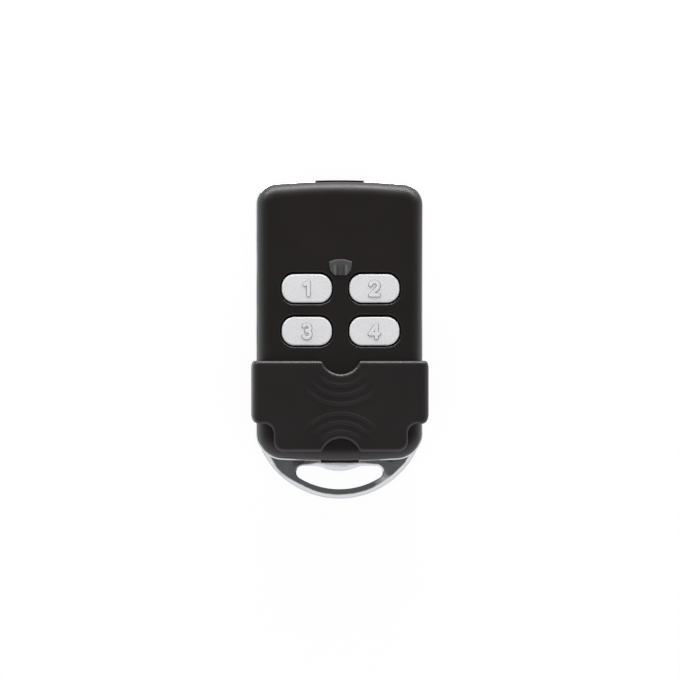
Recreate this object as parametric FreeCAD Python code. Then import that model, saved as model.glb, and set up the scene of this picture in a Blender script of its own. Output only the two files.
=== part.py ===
import FreeCAD, Part
import math
import os

# A gate remote control on a key ring: two black shells clamp a plated rim with a key
# loop, four buttons press switches on a board, and a cover slides up over the buttons.
# It lies on its back. +Z points out of its front face, +Y to the end away from the key
# loop, and +X to the right as seen from the front. All sizes are in millimetres.

# Battery, a 12 V cell of size 27A, which lies across the case
battery_diameter = 8.0
battery_length = 28.2
battery_nub_diameter = 3.4
battery_nub_length = 0.7
battery_floor_gap = 0.2
battery_front_room = 1.2
battery_boss_gap = 0.4

# Battery contacts, bent from strip
contact_thickness = 0.3
contact_leaf_depth = 0.9
contact_side_gap = 0.55
contact_reach = 3.2
contact_half_height = 2.2
contact_leaf_width = 2.0
contact_leaf_half_span = 2.8
contact_tab_length = 2.4
contact_foot_width = 2.0
contact_foot_lap = 2.2

# Case walls
side_wall = 1.5
front_wall = 1.3
back_wall = 1.3
side_taper = 0.25

# Case outline, seen from the front
case_length = 59.45
end_arch_radius = 150.0
top_corner_radius = 4.3
bottom_corner_radius = 5.3
face_rounding = 2.8
back_rounding = 1.8

# Plated rim between the shells, with the key loop at its lower end
rim_thickness = 2.6
rim_proud = 0.35
rim_lap = 0.9
rim_edge_rounding = 0.6
back_shell_height = 4.6
loop_reach = 8.2
loop_bulge = 0.63
loop_blend_radius = 10.0
loop_ring_width = 2.18
slot_top_from_end = 7.0
slot_end_radius = 1.4
slot_bulge_drop = 1.1
slot_bulge_radius = 9.0
slot_bulge_blend = 6.0
slot_edge_rounding = 0.35

# Lip of the back shell, which stands up inside the rim
lip_gap = 0.1
lip_thickness = 0.5
lip_top_gap = 0.1

# Tabs of the front shell, which drop into notches of the rim
top_tab_width = 10.3
top_tab_depth = 0.8
bottom_tab_width = 8.1
bottom_tab_proud = 0.45
bottom_tab_drop = 1.5
tab_height = 1.7
tab_gap = 0.1
tab_root = 0.5

# Buttons
button_width = 10.7
button_height = 6.3
button_corner_radius = 2.75
button_gap = 0.3
button_edge_rounding = 0.35
button_first_from_top = 22.65
button_row_pitch = 9.1
button_column_pitch = 14.4
button_flange = 0.6
button_flange_thickness = 0.55
button_flange_gap = 0.1
button_pad_diameter = 3.2
button_pad_height = 0.45
button_travel = 0.3
opening_chamfer = 0.2

# Switches on the board
switch_size = 5.2
switch_height = 1.7
switch_corner = 0.6
switch_plunger_diameter = 2.4
switch_plunger_stand = 0.5
switch_plunger_gap = 0.1
switch_well_depth = 1.2
switch_lead_width = 0.7
switch_lead_reach = 0.8
switch_lead_root = 0.3
switch_lead_thickness = 0.2
switch_lead_spacing = 3.4

# Lens and the light-emitting diode under it
lens_above_buttons = 4.4
lens_half_width = 2.55
lens_lower_half_width = 2.25
lens_foot_half_width = 1.2
lens_crown = 1.8
lens_arch = 0.6
lens_shoulder_drop = 0.75
lens_foot_drop = 1.75
lens_fit_gap = 0.05
lens_proud = 0.08
lens_flange = 0.5
lens_flange_thickness = 0.6
lens_shoulder_radius = 0.7
lens_top_corner_radius = 0.3
led_width = 2.0
led_length = 1.4
led_height = 1.9
led_dome_radius = 0.6

# Circuit board
board_thickness = 1.0
board_edge_gap = 0.3
board_battery_gap = 1.3
board_post_diameter = 3.0
board_post_inset = 2.6

# Parts on the board, in rows above the lens, each placed from the case's side or its neighbour
chip_length = 8.6
chip_width = 3.9
chip_height = 1.5
chip_from_side = 11.0
chip_above_passives = 5.2
chip_lead_count = 7
chip_lead_pitch = 1.27
chip_lead_width = 0.42
chip_lead_reach = 1.05
chip_lead_thickness = 0.2
resonator_diameter = 5.2
resonator_height = 1.6
resonator_flange = 0.5
resonator_flange_thickness = 0.4
resonator_from_side = 8.4
transistor_length = 2.9
transistor_width = 1.3
transistor_height = 1.1
transistor_lead_width = 0.4
transistor_lead_reach = 0.6
transistor_lead_thickness = 0.2
transistor_from_resonator = 5.8
passive_length = 2.0
passive_width = 1.25
passive_height = 0.55
passive_body_drop = 0.08
passive_end = 0.4
passive_below_lens = 0.35
resistor_count = 4
capacitor_count = 3
passive_pitch = 2.3
resistor_led_gap = 1.1
capacitor_from_side = 5.4

# Antenna, a stiff wire hoop at the top of the board
antenna_wire_diameter = 0.8
antenna_boss_gap = 1.0
antenna_lift = 1.2
antenna_far_from_top = 3.6
antenna_chip_gap = 1.0
antenna_bend_radius = 2.0

# Case screws, driven from the back
screw_diameter = 2.0
screw_head_diameter = 3.6
screw_head_height = 0.9
screw_head_gap = 0.25
screw_recess_depth = 1.2
screw_clearance = 0.15
screw_thread_gap = 0.025
screw_bite = 2.4
screw_tip_gap = 0.4
screw_slot_width = 0.55
screw_slot_length = 2.3
screw_slot_depth = 0.45
boss_diameter = 4.8
top_screw_from_side = 5.2
top_screw_from_top = 5.4
bottom_screw_from_side = 5.4
bottom_screw_from_bottom = 4.6

# Battery cradle
cradle_rib_thickness = 1.2
cradle_rib_spacing = 16.0
cradle_rib_margin = 1.1
cradle_gap = 0.05

# Sliding cover
cover_travel = 21.0
cover_panel_thickness = 1.2
cover_face_gap = 0.25
cover_side_gap = 0.15
cover_side_wall = 0.8
cover_length = 19.27
cover_ear_length = 13.42
cover_from_bottom = 2.0
cover_tongue_inset = 3.05
cover_side_rounding = 1.6
cover_edge_rounding = 0.45
cover_ear_top_radius = 0.8
cover_ear_bottom_radius = 1.6
cover_shoulder_radius = 2.0
cover_tongue_radius = 2.2
cover_notch_radius = 4.5
cover_top_notch_offset = 1.45
cover_bottom_notch_offset = 1.75
cover_lip_thickness = 0.9
cover_lip_reach = 1.3
cover_lip_height = 2.35
groove_gap = 0.15
groove_floor_gap = 0.2
grip_count = 3
grip_first_radius = 6.25
grip_pitch = 1.95
grip_width = 0.5
grip_height = 0.15
grip_half_angle = 47.0

tiny = 1e-4
margin = 1.0

# Widths that follow from the battery
case_half_width_bottom = (
    battery_length / 2 + contact_leaf_depth + contact_thickness + contact_side_gap + side_wall
)
case_half_width_top = case_half_width_bottom + side_taper
rim_half_width = case_half_width_top + rim_proud - side_taper / 2
cover_inner_half_width = rim_half_width + cover_side_gap
cover_half_width = cover_inner_half_width + cover_side_wall

# Places along the length
overall_length = rim_proud + case_length + loop_reach
rim_top_y = overall_length / 2
loop_end_y = -overall_length / 2
case_top_y = rim_top_y - rim_proud
case_bottom_y = case_top_y - case_length
loop_radius = rim_half_width + loop_bulge
loop_centre_y = loop_end_y + loop_radius
bottom_screw_y = case_bottom_y + bottom_screw_from_bottom
battery_y = bottom_screw_y + boss_diameter / 2 + battery_boss_gap + battery_diameter / 2
board_bottom_y = battery_y + battery_diameter / 2 + board_battery_gap
first_row_y = case_top_y - button_first_from_top
lens_y = first_row_y + lens_above_buttons
passive_y = lens_y - passive_below_lens
chip_y = passive_y + chip_above_passives
antenna_near_y = chip_y + chip_width / 2 + chip_lead_reach + antenna_chip_gap
cover_bottom_y = case_bottom_y + cover_from_bottom
cover_top_y = cover_bottom_y + cover_length
cover_ear_bottom_y = cover_top_y - cover_ear_length

# Heights above the surface that the remote lies on
battery_z = back_wall + battery_floor_gap + battery_diameter / 2
rim_bottom_z = back_shell_height
rim_top_z = rim_bottom_z + rim_thickness
face_inner_z = battery_z + battery_diameter / 2 + battery_front_room
face_z = face_inner_z + front_wall
flange_top_z = face_inner_z - button_flange_gap
flange_bottom_z = flange_top_z - button_flange_thickness
plunger_top_z = flange_bottom_z - button_pad_height
switch_top_z = plunger_top_z - switch_plunger_stand
board_top_z = switch_top_z - switch_height
board_bottom_z = board_top_z - board_thickness
cover_inner_z = face_z + cover_face_gap
cover_z = cover_inner_z + cover_panel_thickness

# Places across the board
chip_x = case_half_width_top - chip_from_side
resonator_x = resonator_from_side - case_half_width_top
transistor_x = resonator_x + transistor_from_resonator
resistor_first_x = led_width / 2 + resistor_led_gap
capacitor_first_x = capacitor_from_side - case_half_width_top
top_screw_x = case_half_width_top - top_screw_from_side
antenna_half_width = top_screw_x - boss_diameter / 2 - antenna_boss_gap - antenna_wire_diameter / 2

# Places seen from the front
button_places = [
    (side * button_column_pitch / 2, first_row_y - row * button_row_pitch)
    for row in range(2)
    for side in (-1, 1)
]
top_screw_places = [
    (side * top_screw_x, case_top_y - top_screw_from_top)
    for side in (-1, 1)
]
bottom_screw_places = [
    (side * (case_half_width_bottom - bottom_screw_from_side), bottom_screw_y)
    for side in (-1, 1)
]
post_place = (0.0, board_bottom_y + board_post_inset)
notch_centres = (cover_top_y + cover_top_notch_offset, cover_bottom_y - cover_bottom_notch_offset)


def vec(x, y, z=0.0):
    return FreeCAD.Vector(x, y, z)


def box(x_low, x_high, y_low, y_high, z_low, z_high):
    """A block between two corners."""
    return Part.makeBox(x_high - x_low, y_high - y_low, z_high - z_low, vec(x_low, y_low, z_low))


def cylinder(x, y, diameter, z_low, z_high):
    """An upright round bar."""
    return Part.makeCylinder(diameter / 2, z_high - z_low, vec(x, y, z_low))


def prism(edges, z_low, z_high):
    """A closed outline drawn at height 0, carried from one height to another."""
    face = Part.Face(Part.Wire(edges))
    face.translate(vec(0, 0, z_low))
    return face.extrude(vec(0, 0, z_high - z_low))


def arc(start, middle, end):
    return Part.Arc(start, middle, end).toShape()


def upright_edges(solid, wanted):
    """The solid's edges along Z whose x and y pass the test wanted(x, y)."""
    found = []
    for edge in solid.Edges:
        ends = [vertex.Point for vertex in edge.Vertexes]
        if len(ends) == 2 and abs(ends[0].x - ends[1].x) < tiny and abs(ends[0].y - ends[1].y) < tiny:
            if wanted(ends[0].x, ends[0].y):
                found.append(edge)
    return found


def level_edges(solid, z, wanted=None):
    """The solid's edges that lie at one height, and pass the test if one is given."""
    found = []
    for edge in solid.Edges:
        span = edge.BoundBox
        if abs(span.ZMin - z) < tiny and abs(span.ZMax - z) < tiny:
            if wanted is None or wanted(edge.CenterOfMass):
                found.append(edge)
    return found


def fuse_all(first, others):
    """One solid from several that touch or overlap."""
    return first.fuse(list(others)).removeSplitter()


def one_solid(shape):
    """The solid itself, without the wrapper that a boolean result comes in."""
    if len(shape.Solids) == 1:
        return shape.Solids[0]
    return shape


def arch_ends(half_width, crown_y, radius, direction):
    """Left end, crown and right end of a shallow arch that bulges up (1) or down (-1)."""
    fall = radius - math.sqrt(radius ** 2 - half_width ** 2)
    end_y = crown_y - direction * fall
    return vec(-half_width, end_y), vec(0, crown_y), vec(half_width, end_y)


def case_prism(inset, z_low, z_high):
    """The case's outline drawn in by inset: arched ends, tapered sides, round corners."""
    radius = end_arch_radius - inset
    top_half = case_half_width_top - inset
    low_half = case_half_width_bottom - inset
    top_left, top_mid, top_right = arch_ends(top_half, case_top_y - inset, radius, 1)
    low_left, low_mid, low_right = arch_ends(low_half, case_bottom_y + inset, radius, -1)
    edges = [
        arc(top_left, top_mid, top_right),
        Part.makeLine(top_right, low_right),
        arc(low_right, low_mid, low_left),
        Part.makeLine(low_left, top_left),
    ]
    solid = prism(edges, z_low, z_high)
    solid = solid.makeFillet(top_corner_radius - inset, upright_edges(
        solid, lambda x, y: abs(y - top_right.y) < tiny))
    return solid.makeFillet(bottom_corner_radius - inset, upright_edges(
        solid, lambda x, y: abs(y - low_right.y) < tiny))


def frame_prism(z_low, z_high):
    """The rim's outer outline: arched top, straight sides and the key loop's round end."""
    join_y = loop_centre_y - math.sqrt(loop_radius ** 2 - rim_half_width ** 2)
    top_left, top_mid, top_right = arch_ends(rim_half_width, rim_top_y, end_arch_radius + rim_proud, 1)
    low_right = vec(rim_half_width, join_y)
    low_left = vec(-rim_half_width, join_y)
    edges = [
        arc(top_left, top_mid, top_right),
        Part.makeLine(top_right, low_right),
        arc(low_right, vec(0, loop_end_y), low_left),
        Part.makeLine(low_left, top_left),
    ]
    solid = prism(edges, z_low, z_high)
    solid = solid.makeFillet(top_corner_radius + rim_proud, upright_edges(solid, lambda x, y: y > 0))
    return solid.makeFillet(loop_blend_radius, upright_edges(solid, lambda x, y: abs(y - join_y) < tiny))


def slot_prism(z_low, z_high):
    """The kidney-shaped key slot: the loop's ring below it, a bulge of the web above it."""
    slot_top_y = loop_end_y + slot_top_from_end
    bend_x = math.sqrt(slot_bulge_radius ** 2 - (slot_bulge_radius - slot_bulge_drop) ** 2)
    disc = Part.makeCylinder(loop_radius - loop_ring_width, z_high - z_low, vec(0, loop_centre_y, z_low))
    lower = box(-loop_radius, loop_radius, loop_end_y, slot_top_y, z_low, z_high)
    bulge_y = slot_top_y - slot_bulge_drop + slot_bulge_radius
    bulge = Part.makeCylinder(slot_bulge_radius, z_high - z_low, vec(0, bulge_y, z_low))
    slot = one_solid(disc.common(lower).cut(bulge))
    slot = slot.makeFillet(slot_end_radius, upright_edges(slot, lambda x, y: abs(x) > bend_x + tiny))
    bends = upright_edges(slot, lambda x, y: abs(abs(x) - bend_x) < tiny)
    return slot.makeFillet(slot_bulge_blend, bends)


def rounded_bar(x, y, width, height, radius, z_low, z_high):
    """A button-shaped prism: a rectangle with round corners about (x, y)."""
    solid = box(x - width / 2, x + width / 2, y - height / 2, y + height / 2, z_low, z_high)
    return solid.makeFillet(radius, upright_edges(solid, lambda px, py: True))


def lens_prism(grow, z_low, z_high):
    """The lens's shield outline, made larger all round by grow."""
    crown_y = lens_y + lens_crown + grow
    corner_y = crown_y - lens_arch
    shoulder_y = lens_y - lens_shoulder_drop
    foot_y = lens_y - lens_foot_drop - grow
    top = lens_half_width + grow
    mid = lens_lower_half_width + grow
    foot = lens_foot_half_width + grow / 2
    line = [vec(top, corner_y), vec(mid, shoulder_y), vec(foot, foot_y),
            vec(-foot, foot_y), vec(-mid, shoulder_y), vec(-top, corner_y)]
    edges = [Part.makeLine(a, b) for a, b in zip(line, line[1:])]
    edges.append(arc(line[-1], vec(0, crown_y), line[0]))
    solid = prism(edges, z_low, z_high)
    solid = solid.makeFillet(lens_shoulder_radius, upright_edges(
        solid, lambda x, y: y < corner_y - tiny))
    return solid.makeFillet(lens_top_corner_radius, upright_edges(
        solid, lambda x, y: abs(y - corner_y) < tiny))


def tab_blocks(gap, overrun):
    """The two tabs of the front shell's edge, or with a gap the rim's notches for them."""
    top_half = top_tab_width / 2 + gap
    top_low_y = rim_top_y - top_tab_depth - gap
    top = box(-top_half, top_half, top_low_y, rim_top_y + overrun, rim_bottom_z, rim_top_z + tab_height)
    bottom_half = bottom_tab_width / 2 + gap
    bottom = box(-bottom_half, bottom_half, case_bottom_y - bottom_tab_proud - gap,
                 case_bottom_y + tab_root + gap,
                 rim_top_z - bottom_tab_drop - gap, rim_top_z + tab_height)
    return top, bottom


def make_front_shell():
    """Front shell: a deep lid with a rounded face, openings, bosses and two edge tabs."""
    body = case_prism(0, rim_top_z, face_z)
    body = body.makeFillet(face_rounding, level_edges(body, face_z))
    hollow = case_prism(side_wall, rim_top_z - margin, face_inner_z)
    inner_rounding = face_rounding - max(side_wall, front_wall)
    hollow = hollow.makeFillet(inner_rounding, level_edges(hollow, face_inner_z))
    shell = body.cut(hollow)
    root_z = face_inner_z + front_wall / 2
    bosses = [cylinder(x, y, boss_diameter, board_top_z, root_z) for x, y in top_screw_places]
    bosses += [cylinder(x, y, boss_diameter, board_bottom_z, root_z) for x, y in bottom_screw_places]
    bosses.append(cylinder(*post_place, board_post_diameter, board_top_z, root_z))
    half_span = math.sqrt((battery_diameter / 2 + cradle_gap) ** 2 - (battery_diameter / 4) ** 2)
    for side in (-1, 1):
        x = side * cradle_rib_spacing / 2
        bosses.append(box(x - cradle_rib_thickness / 2, x + cradle_rib_thickness / 2,
                          battery_y - half_span, battery_y + half_span,
                          battery_z + battery_diameter / 4, root_z))
    top_tab, bottom_tab = tab_blocks(0, 0)
    top_tab = top_tab.common(frame_prism(rim_bottom_z, rim_top_z + tab_height))
    shell = fuse_all(shell, bosses + [top_tab, bottom_tab])
    cuts = [battery_bore(cradle_gap)]
    pilot = screw_diameter + 2 * screw_thread_gap
    for x, y in top_screw_places + bottom_screw_places:
        cuts.append(cylinder(x, y, pilot, board_bottom_z - margin, screw_tip_z() + screw_tip_gap))
    for x, y in button_places:
        cuts.append(button_opening(x, y))
    cuts.append(lens_prism(lens_fit_gap, face_inner_z - margin, face_z + margin))
    return one_solid(shell.cut(cuts))


def button_opening(x, y):
    """A button's hole through the face, with a chamfer at its outer edge."""
    width = button_width + 2 * button_gap
    height = button_height + 2 * button_gap
    radius = button_corner_radius + button_gap
    hole = rounded_bar(x, y, width, height, radius, face_inner_z - margin, face_z)
    flare = rounded_bar(x, y, width + 2 * opening_chamfer, height + 2 * opening_chamfer,
                        radius + opening_chamfer, face_z - opening_chamfer, face_z + margin)
    flare = flare.makeChamfer(opening_chamfer - tiny, level_edges(flare, face_z - opening_chamfer))
    return hole.fuse(flare)


def battery_bore(gap):
    """The round space that the battery takes, larger all round by gap."""
    length = battery_length + 2 * gap
    return Part.makeCylinder(battery_diameter / 2 + gap, length,
                             vec(-length / 2, battery_y, battery_z), vec(1, 0, 0))


def screw_tip_z():
    """How high a case screw's tip reaches into the front shell's boss."""
    return board_top_z + screw_bite


def make_back_shell():
    """Back shell: a shallow tray with the lip, the cover's grooves, bosses and the cradle."""
    body = case_prism(0, 0, rim_bottom_z)
    body = body.makeFillet(back_rounding, level_edges(body, 0))
    hollow = case_prism(side_wall, back_wall, rim_bottom_z + margin)
    shell = body.cut(hollow)
    lip_inset = rim_lap + lip_gap
    lip = case_prism(lip_inset, rim_bottom_z - lip_thickness, rim_top_z - lip_top_gap)
    lip = lip.cut(case_prism(lip_inset + lip_thickness, back_wall, rim_top_z + margin))
    root_z = back_wall / 2
    adds = [lip, cylinder(*post_place, board_post_diameter, root_z, board_bottom_z)]
    for x, y in top_screw_places + bottom_screw_places:
        adds.append(cylinder(x, y, boss_diameter, root_z, board_bottom_z))
    half_span = battery_diameter / 2 + cradle_rib_margin
    for side in (-1, 1):
        x = side * cradle_rib_spacing / 2
        adds.append(box(x - cradle_rib_thickness / 2, x + cradle_rib_thickness / 2,
                        battery_y - half_span, battery_y + half_span, root_z, battery_z))
    shell = fuse_all(shell, adds)
    cuts = [battery_bore(cradle_gap)]
    for x, y in top_screw_places + bottom_screw_places:
        cuts.append(cylinder(x, y, screw_diameter + 2 * screw_clearance, -margin, board_bottom_z + margin))
        cuts.append(cylinder(x, y, screw_head_diameter + 2 * screw_head_gap, -margin, screw_recess_depth))
    floor_x = cover_inner_half_width - cover_lip_reach - groove_floor_gap
    low_y = cover_ear_bottom_y - groove_gap
    high_y = cover_top_y + cover_travel + groove_gap
    low_z = cover_lip_height - groove_gap
    high_z = cover_lip_height + cover_lip_thickness + groove_gap
    cuts.append(box(floor_x, rim_half_width + margin, low_y, high_y, low_z, high_z))
    cuts.append(box(-rim_half_width - margin, -floor_x, low_y, high_y, low_z, high_z))
    return one_solid(shell.cut(cuts))


def make_chrome_frame():
    """Plated rim with its key loop: a ring between the shells, the slot and the notches."""
    frame = frame_prism(rim_bottom_z, rim_top_z)
    outer_edges = level_edges(frame, rim_top_z) + level_edges(frame, rim_bottom_z)
    frame = frame.makeFillet(rim_edge_rounding, outer_edges)
    slot = slot_prism(rim_bottom_z - margin, rim_top_z + margin)
    frame = one_solid(frame.cut(slot))
    slot_edges = []
    for z in (rim_bottom_z, rim_top_z):
        slot_edges += level_edges(frame, z, lambda p: slot.BoundBox.isInside(p))
    frame = frame.makeFillet(slot_edge_rounding, slot_edges)
    ring_hole = case_prism(rim_lap, rim_bottom_z - margin, rim_top_z + margin)
    return one_solid(frame.cut([ring_hole, *tab_blocks(tab_gap, margin)]))


def make_button(x, y):
    """A button cap: the part in the opening, a flange behind it and a pad on the plunger."""
    cap = rounded_bar(x, y, button_width, button_height, button_corner_radius, flange_bottom_z, face_z)
    cap = cap.makeFillet(button_edge_rounding, level_edges(cap, face_z))
    grow = 2 * (button_gap + button_flange)
    flange = rounded_bar(x, y, button_width + grow, button_height + grow,
                         button_corner_radius + grow / 2, flange_bottom_z, flange_top_z)
    pad = cylinder(x, y, button_pad_diameter, plunger_top_z, flange_bottom_z + tiny)
    return one_solid(fuse_all(cap, [flange, pad]))


def make_switch(x, y):
    """A switch's housing on the board: a low block with a round well and four leads."""
    half = switch_size / 2
    block = box(x - half, x + half, y - half, y + half, board_top_z, switch_top_z)
    block = block.makeChamfer(switch_corner, upright_edges(block, lambda px, py: True))
    leads = []
    for side in (-1, 1):
        for row in (-1, 1):
            lead_y = y + row * switch_lead_spacing / 2
            inner_x = x + side * (half - switch_lead_root)
            outer_x = x + side * (half + switch_lead_reach)
            leads.append(box(min(inner_x, outer_x), max(inner_x, outer_x),
                             lead_y - switch_lead_width / 2, lead_y + switch_lead_width / 2,
                             board_top_z, board_top_z + switch_lead_thickness))
    block = fuse_all(block, leads)
    well = cylinder(x, y, switch_plunger_diameter + 2 * switch_plunger_gap,
                    switch_top_z - switch_well_depth, switch_top_z + margin)
    return one_solid(block.cut(well))


def make_plunger(x, y):
    """A switch's plunger: a short round pin that the button's pad presses."""
    low_z = switch_top_z - switch_well_depth + button_travel + switch_plunger_gap
    return cylinder(x, y, switch_plunger_diameter, low_z, plunger_top_z)


def make_board():
    """Circuit board: the case's inner outline, cut off beside the battery, with screw holes."""
    board = case_prism(side_wall + board_edge_gap, board_bottom_z, board_top_z)
    board = board.common(box(-rim_half_width, rim_half_width, board_bottom_y, rim_top_y,
                             board_bottom_z - margin, board_top_z + margin))
    hole_diameter = screw_diameter + 2 * screw_clearance
    holes = [cylinder(x, y, hole_diameter, board_bottom_z - margin, board_top_z + margin)
             for x, y in top_screw_places]
    return one_solid(board.cut(holes))


def make_lens():
    """Lens: a shield-shaped window that fills its hole, with a flange behind its upper half."""
    top_z = face_z + lens_proud
    low_z = face_inner_z - lens_flange_thickness
    window = lens_prism(0, low_z, top_z)
    window = window.makeFillet(lens_proud, level_edges(window, top_z))
    upper = box(-rim_half_width, rim_half_width, lens_y, rim_top_y, low_z, face_inner_z)
    flange = lens_prism(lens_flange, low_z, face_inner_z).common(upper)
    return one_solid(fuse_all(window, [flange]))


def make_led():
    """Light-emitting diode: a small block with a dome, on the board under the lens."""
    dome_z = board_top_z + led_height - led_dome_radius
    body = box(-led_width / 2, led_width / 2, lens_y - led_length / 2, lens_y + led_length / 2,
               board_top_z, dome_z)
    dome = Part.makeSphere(led_dome_radius, vec(0, lens_y, dome_z))
    return one_solid(fuse_all(body, [dome]))


def make_chip():
    """Encoder chip: a moulded block with a row of leads along each long side."""
    y = chip_y
    body = box(chip_x - chip_length / 2, chip_x + chip_length / 2, y - chip_width / 2, y + chip_width / 2,
               board_top_z + chip_lead_thickness / 2, board_top_z + chip_height)
    leads = []
    for index in range(chip_lead_count):
        lead_x = chip_x + (index - (chip_lead_count - 1) / 2) * chip_lead_pitch
        leads.append(box(lead_x - chip_lead_width / 2, lead_x + chip_lead_width / 2,
                         y - chip_width / 2 - chip_lead_reach, y + chip_width / 2 + chip_lead_reach,
                         board_top_z, board_top_z + chip_lead_thickness))
    return one_solid(fuse_all(body, leads))


def make_resonator():
    """Resonator: a low round metal can on a thin flange."""
    base = cylinder(resonator_x, chip_y, resonator_diameter + 2 * resonator_flange,
                    board_top_z, board_top_z + resonator_flange_thickness)
    can = cylinder(resonator_x, chip_y, resonator_diameter, board_top_z, board_top_z + resonator_height)
    can = can.makeFillet(resonator_flange_thickness, level_edges(can, board_top_z + resonator_height))
    return one_solid(fuse_all(base, [can]))


def make_transistor():
    """Transistor: a small moulded block with two leads on one side and one on the other."""
    y = chip_y
    body = box(transistor_x - transistor_length / 2, transistor_x + transistor_length / 2,
               y - transistor_width / 2, y + transistor_width / 2,
               board_top_z + transistor_lead_thickness / 2, board_top_z + transistor_height)
    leads = []
    spots = ((-1, -1), (1, -1), (0, 1))
    for column, side in spots:
        lead_x = transistor_x + column * (transistor_length / 2 - transistor_lead_width)
        near_y = y + side * (transistor_width / 2 + transistor_lead_reach)
        leads.append(box(lead_x - transistor_lead_width / 2, lead_x + transistor_lead_width / 2,
                         min(y, near_y), max(y, near_y),
                         board_top_z, board_top_z + transistor_lead_thickness))
    return one_solid(fuse_all(body, leads))


def make_passives(count, first_x, step):
    """A row of chip resistors or capacitors, each a block between two thicker end caps."""
    low_y = passive_y - passive_length / 2
    high_y = passive_y + passive_length / 2
    body_z = board_top_z + passive_height - passive_body_drop
    pieces = []
    for index in range(count):
        low_x = first_x + index * step - passive_width / 2
        high_x = low_x + passive_width
        body = box(low_x, high_x, low_y, high_y, board_top_z, body_z)
        caps = [box(low_x, high_x, end_y, end_y + passive_end, board_top_z, board_top_z + passive_height)
                for end_y in (low_y, high_y - passive_end)]
        pieces.append(one_solid(fuse_all(body, caps)))
    return Part.makeCompound(pieces)


def make_antenna():
    """Antenna: a wire hoop above the board's top end, standing on two straight legs."""
    z = board_top_z + antenna_lift
    far_y = case_top_y - antenna_far_from_top
    near_y = antenna_near_y
    half = antenna_half_width
    bend = antenna_bend_radius
    offset = bend * (1 - math.sqrt(0.5))
    left_low = vec(-half, near_y, z)
    left_high = vec(-half, far_y - bend, z)
    left_bend = vec(-half + offset, far_y - offset, z)
    left_top = vec(-half + bend, far_y, z)
    right_top = vec(half - bend, far_y, z)
    right_bend = vec(half - offset, far_y - offset, z)
    right_high = vec(half, far_y - bend, z)
    right_low = vec(half, near_y, z)
    path = Part.Wire([
        Part.makeLine(left_low, left_high),
        arc(left_high, left_bend, left_top),
        Part.makeLine(left_top, right_top),
        arc(right_top, right_bend, right_high),
        Part.makeLine(right_high, right_low),
    ])
    radius = antenna_wire_diameter / 2
    section = Part.Wire(Part.makeCircle(radius, left_low, vec(0, 1, 0)))
    hoop = path.makePipeShell([section], True, False)
    legs = []
    for x in (-half, half):
        legs.append(cylinder(x, near_y, antenna_wire_diameter, board_top_z, z))
        legs.append(Part.makeSphere(radius, vec(x, near_y, z)))
    return one_solid(fuse_all(hoop, legs))


def make_battery():
    """Battery: a round cell along X with its positive nub on the right."""
    can_length = battery_length - battery_nub_length
    can = Part.makeCylinder(battery_diameter / 2, can_length,
                            vec(-battery_length / 2, battery_y, battery_z), vec(1, 0, 0))
    can = can.makeFillet(contact_thickness, [edge for edge in can.Edges if edge.Closed])
    nub = Part.makeCylinder(battery_nub_diameter / 2, battery_length / 2,
                            vec(0, battery_y, battery_z), vec(1, 0, 0))
    return one_solid(fuse_all(can, [nub]))


def make_contact(side):
    """A battery contact: a plate at the cell's end, with a tab and a foot on the board."""
    reach = battery_length / 2 if side > 0 else battery_length / 2 + contact_leaf_depth
    near_x = side * reach
    far_x = side * (reach + contact_thickness)
    low_x, high_x = min(near_x, far_x), max(near_x, far_x)
    plate = box(low_x, high_x, battery_y - contact_reach, board_bottom_y - board_battery_gap / 2,
                battery_z - contact_half_height, board_top_z + contact_tab_length / 2)
    tab = box(low_x, high_x, battery_y, board_bottom_y + contact_foot_lap,
              board_top_z, board_top_z + contact_tab_length / 2)
    inner_x = near_x - side * contact_foot_width
    foot = box(min(inner_x, far_x), max(inner_x, far_x), board_bottom_y, board_bottom_y + contact_foot_lap,
               board_top_z, board_top_z + contact_thickness)
    pieces = [tab, foot]
    if side < 0:
        pieces.append(make_leaf(near_x))
    return one_solid(fuse_all(plate, pieces))


def make_leaf(plate_x):
    """The bowed leaf that presses on the cell's flat end, an arched strip on its plate."""
    tip_x = plate_x + contact_leaf_depth
    span = contact_leaf_half_span
    inner = span - 2 * contact_thickness
    edges = [
        arc(vec(plate_x, battery_y - span), vec(tip_x, battery_y), vec(plate_x, battery_y + span)),
        Part.makeLine(vec(plate_x, battery_y + span), vec(plate_x, battery_y + inner)),
        arc(vec(plate_x, battery_y + inner), vec(tip_x - contact_thickness, battery_y),
            vec(plate_x, battery_y - inner)),
        Part.makeLine(vec(plate_x, battery_y - inner), vec(plate_x, battery_y - span)),
    ]
    return prism(edges, battery_z - contact_leaf_width / 2, battery_z + contact_leaf_width / 2)


def make_screws():
    """Four case screws: a shank up into the front boss and a round head with a cross slot."""
    head_low_z = screw_recess_depth - screw_head_height
    screws = []
    for x, y in top_screw_places + bottom_screw_places:
        shank = cylinder(x, y, screw_diameter, head_low_z, screw_tip_z())
        head = cylinder(x, y, screw_head_diameter, head_low_z, screw_recess_depth)
        head = head.makeFillet(screw_head_height / 3, level_edges(head, head_low_z))
        length = screw_slot_length / 2
        width = screw_slot_width / 2
        depth_z = head_low_z + screw_slot_depth
        slots = [box(x - length, x + length, y - width, y + width, -margin, depth_z),
                 box(x - width, x + width, y - length, y + length, -margin, depth_z)]
        screws.append(one_solid(fuse_all(head, [shank]).cut(slots)))
    return Part.makeCompound(screws)


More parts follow.
